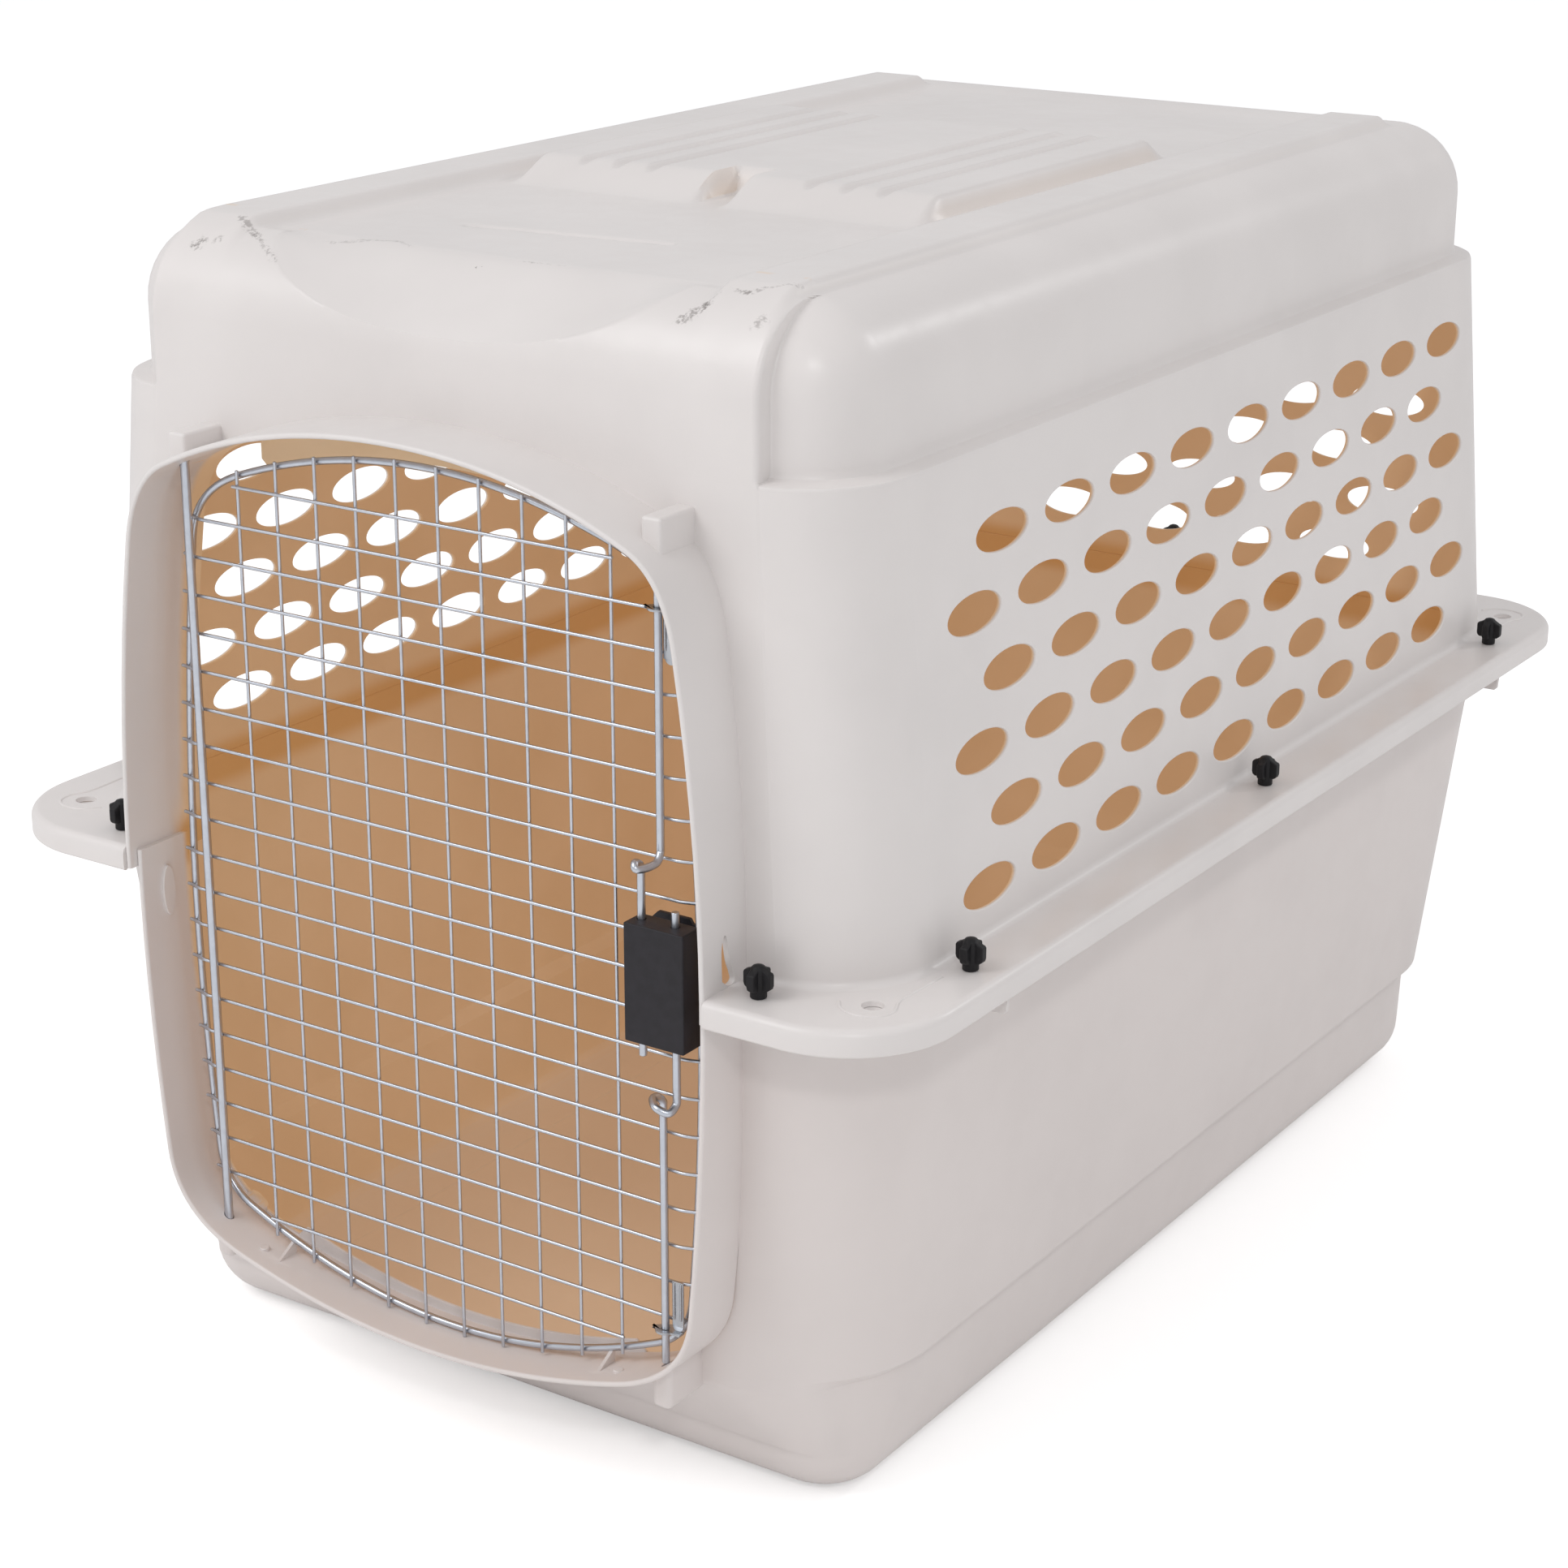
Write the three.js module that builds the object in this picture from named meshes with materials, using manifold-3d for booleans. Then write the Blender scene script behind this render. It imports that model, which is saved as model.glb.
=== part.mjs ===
// Pet transport carrier: two moulded half shells bolted together at a flange, with a welded wire
// door that swings on a rod and is held by two spring-loaded latch rods.
// Millimetres, +Z up. The door faces -Y. The origin is the middle of the footprint, on the floor.
import * as THREE from "three";
import { mergeVertices } from "three/addons/utils/BufferGeometryUtils.js";
import Module from "manifold-3d";

const wasm = await Module();
wasm.setup();

// ---------------------------------------------------------------- driving dimensions

const WALL = 3; // moulded wall of both shells
const GAP = 0.3; // clearance between pieces that rest on each other
const PAST = 5; // how far a cutter reaches past the face it opens
const WELD = 0.4; // how far one welded wire sinks into the next

// The flange is the widest part: the upper shell's flange covers the lower one and hangs over its edge.
const FLANGE = { halfX: 344, halfY: 508, corner: 71, top: 361, thickness: 3.5, lip: 16.5 };
const LIP_CLEARANCE = 0.5;
const SPLIT = FLANGE.top - FLANGE.thickness;
const LOWER_TOP = SPLIT - GAP;

// Body outlines as half length, half width and corner radius.
const WAIST = { halfX: 303.7, halfY: 463, corner: 70 }; // both shells, at the flange
const TUB_LEDGE = { halfX: 284, halfY: 453, corner: 95, z: 89, step: 9 };
const LEDGE_SLOPE = 4; // how far the ledge's underside rises
const TUB_BASE = { halfX: 268, halfY: 424, corner: 46, edge: 35 };
const EAVES = { halfX: 278.6, halfY: 453.9, corner: 64, z: 646 }; // where the upper walls end
const SHOULDER = { inset: 13, roll: 50, z: 691 }; // the roof's rounded edge, set back from the eaves
const ROOF = 741;
const ROOF_FOOT = 20; // how far the roof's foot reaches down between the upper walls

// Raised mouldings of the roof.
const HOOD = { halfX: 222, rollTop: 405, rollFoot: 690, back: 300, foot: 586 };
const PANEL = { halfX: 160, front: 182, back: 154, top: 755, sideSlope: 9, endSlope: 32 };
const RAIL = { inner: 170, outer: 222, front: 415, back: 376, top: 748, sideSlope: 7, endSlope: 8 };
const ROOT = 12; // how far a moulding's foot reaches down into the roof

// Vent holes: rows of ellipses. Each wall has its own pattern, whose first, third and fifth rows are
// alike, and so are the others: each kind of row has so many columns round its middle.
const VENT = { halfLength: 30, halfHeight: 11.6, sides: 8 };
const VENT_ROWS = 6;
const RIGHT_VENTS = {
  top: 594,
  rowPitch: 40.9,
  pitch: 80,
  kinds: [{ columns: 9, middle: 30 }, { columns: 9, middle: -6 }],
};
const LEFT_VENTS = {
  top: 599.4,
  rowPitch: 40.4,
  pitch: 77.4,
  kinds: [{ columns: 10, middle: 1 }, { columns: 9, middle: 0 }],
};
const REAR_VENTS = {
  top: 598.4,
  rowPitch: 40.4,
  pitch: 79,
  kinds: [{ columns: 6, middle: 0 }, { columns: 5, middle: 0 }],
};

// The doorway: an arch with a bowed foot and bowed sides, given for the right half.
const DOORWAY = {
  foot: 66,
  footEnd: [150, 88.5],
  sideLow: [208.5, 152],
  bow: [236.5, 360],
  sideHigh: [204, 560],
  crownEnd: [142, 634.3],
  crown: 650.5,
};
const DUCT = { front: 506, back: 440, wall: 3.6, lipGap: 0.6 };
const SILL = { rise: 7, front: 456 }; // the tub's front wall stands a little above the duct's floor
const HEAD_STRIP = { halfX: 140, drop: 25, front: -453.5, thickness: 3 }; // hangs behind the door's head

// Door: a round frame wire with vertical and horizontal wires welded in front of it.
const DOOR_FRAME = {
  foot: 75,
  footEnd: [163, 112],
  sideLow: [188, 148],
  bow: [207, 355],
  sideHigh: [181, 560],
  crownEnd: [140, 604.1],
  crown: 629,
};
const FRAME_WIRE = { radius: 2.25, y: -471 };
const GRID_WIRE_RADIUS = 1.1;
const UPRIGHTS = { count: 10, pitch: 30.8, y: -474.7 };
const CROSSBARS = { count: 21, pitch: 24.35, first: 111, shortHalf: 141, overhang: 2.5 };
const CROSSBAR_Y = UPRIGHTS.y - 2 * GRID_WIRE_RADIUS + WELD;

// Hinge rod and latch rods stand in front of the grid, one at each side of the door.
const ROD = { x: 175, y: -480.6 };
const HINGE_ROD = { radius: 2.8, bottom: 87, top: 624 };
const LATCH_ROD_RADIUS = 2.4;
const TIP_CLEARANCE = 3; // between a drawn-back latch rod and the mouth of its socket
const SOCKET = { halfX: 7, front: 487, back: 453, top: 631, bottom: 77.5, clearance: 0.4 };
const SOCKET_HEIGHT = 30;
const SOCKET_DEPTH = { upper: 626, lower: 86 };
const ROD_HOLE_MOUTH = { upper: 550, lower: 150 }; // in the open doorway, clear of both sockets

// Latch case, centred between the two rod tails that slide in it.
const CASE = { x: 182.8, halfX: 20.7, bottom: 320.5, top: 393.5, front: -500, back: -482.6, wall: 1.6 };
const TAIL = { y: -490, upperX: 168, lowerX: 191.5 };
const UPPER_TAIL_END = 309.5;
const LOWER_TAIL_END = 402;
const LOOP_BEND = { upper: 437, lower: 273 }; // where each rod leaves its line for the finger loop
const COLLAR = { radius: 4, length: 4 };
const SPRING = { coil: 3.4, wire: 0.45, turns: 4, length: 26 };
const CLAMP_PLATE = { front: -468.4, thickness: 3 };
const CLAMP_SCREW = { zs: [342, 366], x: 179.7, radius: 1.5, head: 3, headLength: 2, tip: -494 };
const SCREW_POST_RADIUS = 3.4;

// Guides: a stamped eye round each latch rod with a tab that lies against the frame wire.
const GUIDE = { eye: 6.2, hole: 3, thickness: 1.5, tabX: [179, 187], tabY: [-479.3, -478] };
const UPPER_GUIDE = { eyeZ: 575, tabZ: [542.5, 575] };
const LOWER_GUIDE = { eyeZ: 128, tabZ: [129.5, 162] };

// Flange bolts and wing nuts: three along each side, two at the door's end and three at the back.
const BOLT = { radius: 3, headRadius: 5.5, headHeight: 4, rise: 12, hole: 3.5 };
const NUT = { stem: 4.9, bore: 3.6, height: 20, dome: 4, wingSpan: 18, wingWidth: 3, wingFoot: 5 };
const SIDE_BOLTS = { x: 322, y: 383 };
const DOOR_BOLTS = { x: 244, y: -484 };
const BACK_BOLTS = { x: 180, y: 492 };
const TIE_DOWN = { x: 303, y: 457.5, radius: 6.5 };

const PLASTIC = { color: 0xded8d3, roughness: 0.45, metalness: 0 };
const ZINC = { color: 0xb9bec8, roughness: 0.25, metalness: 1 };
const BLACK = { color: 0x26241f, roughness: 0.5, metalness: 0 };

// ---------------------------------------------------------------- joining and cutting

// A closed geometry as a solid that can be joined and cut.
function toSolid(geometry) {
  const bare = new THREE.BufferGeometry();
  bare.setAttribute("position", geometry.getAttribute("position"));
  if (geometry.index) bare.setIndex(geometry.index);
  const merged = mergeVertices(bare, 1e-3);
  return new wasm.Manifold(
    new wasm.Mesh({
      numProp: 3,
      vertProperties: merged.getAttribute("position").array,
      triVerts: new Uint32Array(merged.index.array),
    }),
  );
}

function toGeometry(solid) {
  const mesh = solid.getMesh();
  const geometry = new THREE.BufferGeometry();
  geometry.setAttribute("position", new THREE.BufferAttribute(new Float32Array(mesh.vertProperties), 3));
  geometry.setIndex(new THREE.BufferAttribute(new Uint32Array(mesh.triVerts), 1));
  geometry.computeVertexNormals();
  return geometry;
}

const join = (solids) => solids.reduce((whole, solid) => whole.add(solid));
const cut = (solid, tools) => tools.reduce((rest, tool) => rest.subtract(tool), solid);

// ---------------------------------------------------------------- basic shapes

// A box between two corners.
function block(low, high) {
  const size = high.map((value, axis) => value - low[axis]);
  const middle = high.map((value, axis) => (value + low[axis]) / 2);
  return toSolid(new THREE.BoxGeometry(...size).translate(...middle));
}

// An upright round bar between two heights.
function bar(radius, x, y, bottom, top, sides = 12) {
  const cylinder = new THREE.CylinderGeometry(radius, radius, top - bottom, sides);
  return toSolid(cylinder.rotateX(Math.PI / 2).translate(x, y, (bottom + top) / 2));
}

// A solid of revolution round +Z from [radius, height] points that close on themselves or on the axis.
function turned(profile, sides) {
  const points = profile.map(([radius, height]) => new THREE.Vector2(radius, height));
  return toSolid(new THREE.LatheGeometry(points, sides).rotateX(Math.PI / 2));
}

// A closed outline of [x, z] points, extruded along Y between two planes.
function extrudeAlongY(outline, from, to) {
  const shape = new THREE.Shape(outline);
  const geometry = new THREE.ExtrudeGeometry(shape, { depth: to - from, bevelEnabled: false });
  return toSolid(geometry.rotateX(Math.PI / 2).translate(0, to, 0));
}

// A closed outline of [y, z] points, extruded along X between two planes.
function extrudeAlongX(outline, from, to) {
  const shape = new THREE.Shape(outline);
  const geometry = new THREE.ExtrudeGeometry(shape, { depth: to - from, bevelEnabled: false });
  const turn = new THREE.Matrix4().makeBasis(
    new THREE.Vector3(0, 1, 0),
    new THREE.Vector3(0, 0, 1),
    new THREE.Vector3(1, 0, 0),
  );
  return toSolid(geometry.applyMatrix4(turn).translate(from, 0, 0));
}

// A closed skin through rings of equally many points. Every ring is convex and runs anticlockwise
// about the direction in which the rings follow each other.
function loft(rings) {
  const count = rings[0].length;
  const last = (rings.length - 1) * count;
  const index = [];
  for (let start = 0; start < last; start += count) {
    for (let i = 0; i < count; i += 1) {
      const a = start + i;
      const b = start + ((i + 1) % count);
      index.push(a, b, b + count, a, b + count, a + count);
    }
  }
  for (let i = 1; i + 1 < count; i += 1) {
    index.push(0, i + 1, i, last, last + i, last + i + 1);
  }
  const geometry = new THREE.BufferGeometry().setFromPoints(rings.flat());
  return toSolid(geometry.setIndex(index));
}

const CORNER_STEPS = 5;

// A level ring: a rectangle with round corners.
function roundedRing({ halfX, halfY, corner }, z, inset = 0) {
  const radius = corner - inset;
  const signs = [[1, 1], [-1, 1], [-1, -1], [1, -1]];
  return signs.flatMap(([signX, signY], quarter) =>
    Array.from({ length: CORNER_STEPS + 1 }, (_, step) => {
      const angle = (quarter + step / CORNER_STEPS) * (Math.PI / 2);
      const x = signX * (halfX - corner) + radius * Math.cos(angle);
      const y = signY * (halfY - corner) + radius * Math.sin(angle);
      return new THREE.Vector3(x, y, z);
    }),
  );
}

// A round wire along a path of points, as a loft of rings that turn with the path.
function wireAlong(path, radius, sides) {
  const across = new THREE.Vector3(0, 1, 0);
  const rings = path.map((point, i) => {
    const before = path[Math.max(i - 1, 0)];
    const after = path[Math.min(i + 1, path.length - 1)];
    const along = after.clone().sub(before).normalize();
    across.addScaledVector(along, -across.dot(along)).normalize();
    const up = along.clone().cross(across);
    return Array.from({ length: sides }, (_, side) => {
      const angle = (side / sides) * 2 * Math.PI;
      return point
        .clone()
        .addScaledVector(across, radius * Math.cos(angle))
        .addScaledVector(up, radius * Math.sin(angle));
    });
  });
  return loft(rings);
}

// ---------------------------------------------------------------- the arch of the doorway and the door

// Where the line from a point along a slope meets the line from one end of a side through its bow.
function cornerPoint([x, z], slope, [sideX, sideZ], [bowX, bowZ]) {
  const lean = (bowX - sideX) / (bowZ - sideZ);
  const height = (z + slope * (sideX - lean * sideZ - x)) / (1 - slope * lean);
  return [sideX + lean * (height - sideZ), height];
}

// The closed outline of an arch as [x, z] points, anticlockwise from the middle of its foot.
function archOutline(arch, steps = 5) {
  const footSlope = (2 * (arch.footEnd[1] - arch.foot)) / arch.footEnd[0];
  const crownSlope = (2 * (arch.crownEnd[1] - arch.crown)) / arch.crownEnd[0];
  const half = new THREE.Path().moveTo(0, arch.foot);
  half.quadraticCurveTo(arch.footEnd[0] / 2, arch.foot, ...arch.footEnd);
  const lowCorner = cornerPoint(arch.footEnd, footSlope, arch.sideLow, arch.bow);
  half.quadraticCurveTo(...lowCorner, ...arch.sideLow);
  half.quadraticCurveTo(...arch.bow, ...arch.sideHigh);
  const highCorner = cornerPoint(arch.crownEnd, crownSlope, arch.sideHigh, arch.bow);
  half.quadraticCurveTo(...highCorner, ...arch.crownEnd);
  half.quadraticCurveTo(arch.crownEnd[0] / 2, arch.crown, 0, arch.crown);
  const right = half.getPoints(steps);
  const left = right.slice(1, -1).reverse().map((point) => new THREE.Vector2(-point.x, point.y));
  return [...right, ...left];
}

// The outline moved outwards by a distance, or inwards when it is negative.
function offset(outline, distance) {
  return outline.map((point, i) => {
    const before = outline.at(i - 1);
    const after = outline[(i + 1) % outline.length];
    const along = after.clone().sub(before).normalize();
    return new THREE.Vector2(point.x + along.y * distance, point.y - along.x * distance);
  });
}

// Half the width of a closed outline at a height.
function halfWidthAt(outline, z) {
  const crossings = outline.flatMap((point, i) => {
    const next = outline[(i + 1) % outline.length];
    const share = (z - point.y) / (next.y - point.y);
    return share >= 0 && share <= 1 ? [Math.abs(point.x + share * (next.x - point.x))] : [];
  });
  return Math.max(...crossings);
}

// The lowest and highest points of a closed outline at a distance from its middle.
function heightsAt(outline, x) {
  const crossings = outline.flatMap((point, i) => {
    const next = outline[(i + 1) % outline.length];
    const share = (x - point.x) / (next.x - point.x);
    return share >= 0 && share <= 1 ? [point.y + share * (next.y - point.y)] : [];
  });
  return [Math.min(...crossings), Math.max(...crossings)];
}

const doorway = archOutline(DOORWAY);
const ductInside = offset(doorway, -DUCT.wall);
const doorFrameOutline = archOutline(DOOR_FRAME, 4);

const FRONT = -600; // a plane well in front of everything
const CABIN_FRONT = -430; // a plane just inside the front walls
const WIDE = 400; // further out to the side than anything
const HIGH = 800; // above everything

// The passage through the duct, and the smaller one through the tub's front wall behind it.
function ductPassage(back) {
  return extrudeAlongY(ductInside, FRONT, back);
}

function sillPassage() {
  const foot = DOORWAY.foot + SILL.rise;
  const footEnd = [DOORWAY.footEnd[0], DOORWAY.footEnd[1] + SILL.rise];
  const raised = archOutline({ ...DOORWAY, foot, footEnd });
  return extrudeAlongY(offset(raised, -DUCT.wall), FRONT, CABIN_FRONT);
}

// ---------------------------------------------------------------- places that repeat

const ENDS = [["left", -1], ["right", 1]];

// Every bolt's name and place, named by side and then by where along it.
const boltPlaces = [
  ...ENDS.flatMap(([side, sign]) =>
    [["front", -1], ["middle", 0], ["rear", 1]].map(([where, along]) => ({
      name: `${side}_${where}`,
      x: sign * SIDE_BOLTS.x,
      y: along * SIDE_BOLTS.y,
    })),
  ),
  ...ENDS.map(([side, sign]) => ({ name: `door_${side}`, x: sign * DOOR_BOLTS.x, y: DOOR_BOLTS.y })),
  ...ENDS.map(([side, sign]) => ({ name: `back_${side}`, x: sign * BACK_BOLTS.x, y: BACK_BOLTS.y })),
  { name: "back_middle", x: 0, y: BACK_BOLTS.y },
];

const tieDownPlaces = ENDS.flatMap(([, signX]) =>
  ENDS.map(([, signY]) => ({ x: signX * TIE_DOWN.x, y: signY * TIE_DOWN.y })),
);

function flangeHoles() {
  const [bottom, top] = [FLANGE.top - FLANGE.lip - PAST, FLANGE.top + PAST];
  return [
    ...boltPlaces.map(({ x, y }) => bar(BOLT.hole, x, y, bottom, top, 10)),
    ...tieDownPlaces.map(({ x, y }) => bar(TIE_DOWN.radius, x, y, bottom, top, 14)),
  ];
}

// The holes that the hinge rod and the latch rods enter, above and below the doorway.
function rodHoles(bottom, top) {
  return [
    bar(HINGE_ROD.radius + SOCKET.clearance, -ROD.x, ROD.y, bottom, top),
    bar(LATCH_ROD_RADIUS + SOCKET.clearance, ROD.x, ROD.y, bottom, top),
  ];
}

function sockets(bottom, top) {
  return ENDS.map(([, sign]) =>
    block(
      [sign * ROD.x - SOCKET.halfX, -SOCKET.front, bottom],
      [sign * ROD.x + SOCKET.halfX, -SOCKET.back, top],
    ),
  );
}

// ---------------------------------------------------------------- lower shell

function tubRings(inset) {
  const { edge } = TUB_BASE;
  const turns = [0, 30, 60, 90].map((degrees) => (degrees * Math.PI) / 180);
  const roll = turns.map((turn) => {
    const depth = (edge - inset) * (1 - Math.sin(turn));
    const z = inset + (edge - inset) * (1 - Math.cos(turn));
    return roundedRing(TUB_BASE, z, inset + depth);
  });
  const { z, step } = TUB_LEDGE;
  return [
    ...roll,
    roundedRing(TUB_LEDGE, z - LEDGE_SLOPE + inset, inset + step),
    roundedRing(TUB_LEDGE, z + inset, inset),
    roundedRing(WAIST, LOWER_TOP, inset),
  ];
}

function lowerShell() {
  const rim = LOWER_TOP - FLANGE.thickness;
  const covered = FLANGE.thickness + LIP_CLEARANCE; // the upper shell's lip hangs round this edge
  const plate = loft([roundedRing(FLANGE, rim, covered), roundedRing(FLANGE, LOWER_TOP, covered)]);
  const duct = extrudeAlongY(doorway, -DUCT.front, -DUCT.back).subtract(
    block([-WIDE, FRONT, LOWER_TOP], [WIDE, 0, HIGH]),
  );
  const hollow = tubRings(WALL);
  hollow.push(roundedRing(WAIST, LOWER_TOP + PAST, WALL));
  const blocks = sockets(SOCKET.bottom, SOCKET.bottom + SOCKET_HEIGHT);
  return cut(join([loft(tubRings(0)), plate, duct, ...blocks]), [
    loft(hollow),
    ductPassage(-SILL.front),
    sillPassage(),
    ...rodHoles(SOCKET_DEPTH.lower, ROD_HOLE_MOUTH.lower),
    ...flangeHoles(),
  ]);
}

// ---------------------------------------------------------------- upper shell

// The walls up to the eaves, then the roof with its rounded shoulder.
function upperWalls(inset) {
  return loft([
    roundedRing(WAIST, inset ? SPLIT - PAST : SPLIT, inset),
    roundedRing(EAVES, EAVES.z - inset, inset),
  ]);
}

function roof(inset) {
  const turns = [0, 22, 45, 68, 90].map((degrees) => (degrees * Math.PI) / 180);
  const { roll, z } = SHOULDER;
  const rings = turns.map((turn) => {
    const depth = SHOULDER.inset + inset + (roll - inset) * (1 - Math.cos(turn));
    return roundedRing(EAVES, z + (roll - inset) * Math.sin(turn), depth);
  });
  return loft([roundedRing(EAVES, EAVES.z - ROOF_FOOT, SHOULDER.inset + inset), ...rings]);
}

// The front of the roof: the front wall runs straight up and rolls over without the shoulder's step.
function hood(inset) {
  const wall = -EAVES.halfY + inset;
  const top = ROOF - inset;
  const outline = new THREE.Path().moveTo(-HOOD.back, HOOD.foot).lineTo(wall, HOOD.foot);
  outline.lineTo(wall, HOOD.rollFoot);
  outline.quadraticCurveTo(wall, top, -HOOD.rollTop, top);
  outline.lineTo(-HOOD.back, top);
  return extrudeAlongX(outline.getPoints(6), -HOOD.halfX + inset, HOOD.halfX - inset);
}

// A raised moulding on the roof: a rectangle between two x, whose sides and ends slope in towards its top.
function raised(left, right, { front, back, top, sideSlope, endSlope }, inset) {
  const ring = (z, sideStep, endStep) => [
    new THREE.Vector3(right - sideStep, back - endStep, z),
    new THREE.Vector3(left + sideStep, back - endStep, z),
    new THREE.Vector3(left + sideStep, endStep - front, z),
    new THREE.Vector3(right - sideStep, endStep - front, z),
  ];
  return loft([
    ring(ROOF - ROOT, inset, inset),
    ring(ROOF - inset, inset, inset),
    ring(top - inset, inset + sideSlope, inset + endSlope),
  ]);
}

function roofMouldings(inset) {
  return [
    raised(-PANEL.halfX, PANEL.halfX, PANEL, inset),
    raised(RAIL.inner, RAIL.outer, RAIL, inset),
    raised(-RAIL.outer, -RAIL.inner, RAIL, inset),
  ];
}

function upperFlange() {
  const plate = loft([roundedRing(FLANGE, SPLIT), roundedRing(FLANGE, FLANGE.top)]);
  const lipFoot = FLANGE.top - FLANGE.lip;
  const around = loft([roundedRing(FLANGE, lipFoot), roundedRing(FLANGE, SPLIT)]);
  const within = loft([
    roundedRing(FLANGE, lipFoot - PAST, FLANGE.thickness),
    roundedRing(FLANGE, SPLIT, FLANGE.thickness),
  ]);
  const ductSpace = extrudeAlongY(offset(doorway, DUCT.lipGap), FRONT, -DUCT.back);
  return join([plate, cut(around, [within, ductSpace])]);
}

// One ellipse of the vents, centred on the origin, as points of its outline.
function ventOutline(across, z) {
  return Array.from({ length: VENT.sides }, (_, i) => {
    const angle = ((i + 0.5) / VENT.sides) * 2 * Math.PI;
    const along = across + VENT.halfLength * Math.cos(angle);
    return new THREE.Vector2(along, z + VENT.halfHeight * Math.sin(angle));
  });
}

// All ellipses of one pattern, each passed to a function that makes its cutter.
function ventCutters({ top, rowPitch, pitch, kinds }, makeCutter) {
  const cutters = [];
  for (let row = 0; row < VENT_ROWS; row += 1) {
    const { columns, middle } = kinds[row % kinds.length];
    for (let column = 0; column < columns; column += 1) {
      const across = middle + (column - (columns - 1) / 2) * pitch;
      cutters.push(makeCutter(ventOutline(across, top - row * rowPitch)));
    }
  }
  return cutters;
}

// A vent cutter starts inside the cabin, this far short of the widest wall, and ends beyond it.
const VENT_REACH = { within: 60, beyond: 20 };

// A strip that hangs from the duct's ceiling and follows its arch.
function headStrip() {
  const { halfX, drop, front, thickness } = HEAD_STRIP;
  const arch = Array.from({ length: 11 }, (_, i) => {
    const x = halfX * (i / 5 - 1);
    return new THREE.Vector2(x, heightsAt(doorway, x)[1] - DUCT.wall / 2);
  });
  const foot = arch.map((point) => new THREE.Vector2(point.x, point.y - drop));
  return extrudeAlongY([...foot, ...arch.reverse()], front, front + thickness);
}

function upperShell() {
  const duct = extrudeAlongY(doorway, -DUCT.front, -DUCT.back).subtract(
    block([-WIDE, FRONT, 0], [WIDE, 0, SPLIT]),
  );
  const outside = join([
    upperWalls(0),
    roof(0),
    hood(0),
    ...roofMouldings(0),
    upperFlange(),
    duct,
    ...sockets(SOCKET.top - SOCKET_HEIGHT, SOCKET.top),
  ]);
  const hollow = join([upperWalls(WALL), roof(WALL), hood(WALL), ...roofMouldings(WALL)]);
  const shell = cut(outside, [
    hollow,
    ductPassage(CABIN_FRONT),
    ...rodHoles(ROD_HOLE_MOUTH.upper, SOCKET_DEPTH.upper),
    ...ventCutters(RIGHT_VENTS, (outline) =>
      extrudeAlongX(outline, WAIST.halfX - VENT_REACH.within, WAIST.halfX + VENT_REACH.beyond),
    ),
    ...ventCutters(LEFT_VENTS, (outline) =>
      extrudeAlongX(outline, -WAIST.halfX - VENT_REACH.beyond, VENT_REACH.within - WAIST.halfX),
    ),
    ...ventCutters(REAR_VENTS, (outline) =>
      extrudeAlongY(outline, WAIST.halfY - VENT_REACH.within, WAIST.halfY + VENT_REACH.beyond),
    ),
    ...flangeHoles(),
  ]);
  return shell.add(headStrip());
}

// ---------------------------------------------------------------- door

function doorFrameWire() {
  const path = doorFrameOutline.map((point) => new THREE.Vector3(point.x, FRAME_WIRE.y, point.y));
  const sides = 6;
  const count = path.length;
  const positions = [];
  const index = [];
  path.forEach((point, i) => {
    const along = path[(i + 1) % count].clone().sub(path.at(i - 1)).normalize();
    const outward = new THREE.Vector3(along.z, 0, -along.x);
    for (let side = 0; side < sides; side += 1) {
      const angle = ((side + 0.5) / sides) * 2 * Math.PI;
      const ringPoint = point.clone().addScaledVector(outward, FRAME_WIRE.radius * Math.cos(angle));
      positions.push(ringPoint.x, ringPoint.y + FRAME_WIRE.radius * Math.sin(angle), ringPoint.z);
      const a = i * sides + side;
      const b = i * sides + ((side + 1) % sides);
      const next = ((i + 1) % count) * sides - i * sides;
      index.push(a, b, b + next, a, b + next, a + next);
    }
  });
  const geometry = new THREE.BufferGeometry();
  geometry.setAttribute("position", new THREE.Float32BufferAttribute(positions, 3));
  return toSolid(geometry.setIndex(index));
}

// The welded grid: uprights run from the frame's foot to its crown, crossbars lie in front of them.
function doorGrid() {
  const wires = [];
  const at = (x, y, z) => new THREE.Vector3(x, y, z);
  for (let i = 0; i < UPRIGHTS.count; i += 1) {
    const x = (i - (UPRIGHTS.count - 1) / 2) * UPRIGHTS.pitch;
    const [bottom, top] = heightsAt(doorFrameOutline, x);
    wires.push(wireAlong([at(x, UPRIGHTS.y, bottom), at(x, UPRIGHTS.y, top)], GRID_WIRE_RADIUS, 4));
  }
  for (let i = 0; i < CROSSBARS.count; i += 1) {
    const z = CROSSBARS.first + i * CROSSBARS.pitch;
    const short = i === 0 || i === CROSSBARS.count - 1;
    const full = halfWidthAt(doorFrameOutline, z) + FRAME_WIRE.radius + CROSSBARS.overhang;
    const reach = short ? CROSSBARS.shortHalf : full;
    wires.push(wireAlong([at(-reach, CROSSBAR_Y, z), at(reach, CROSSBAR_Y, z)], GRID_WIRE_RADIUS, 4));
  }
  return join(wires);
}

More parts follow.
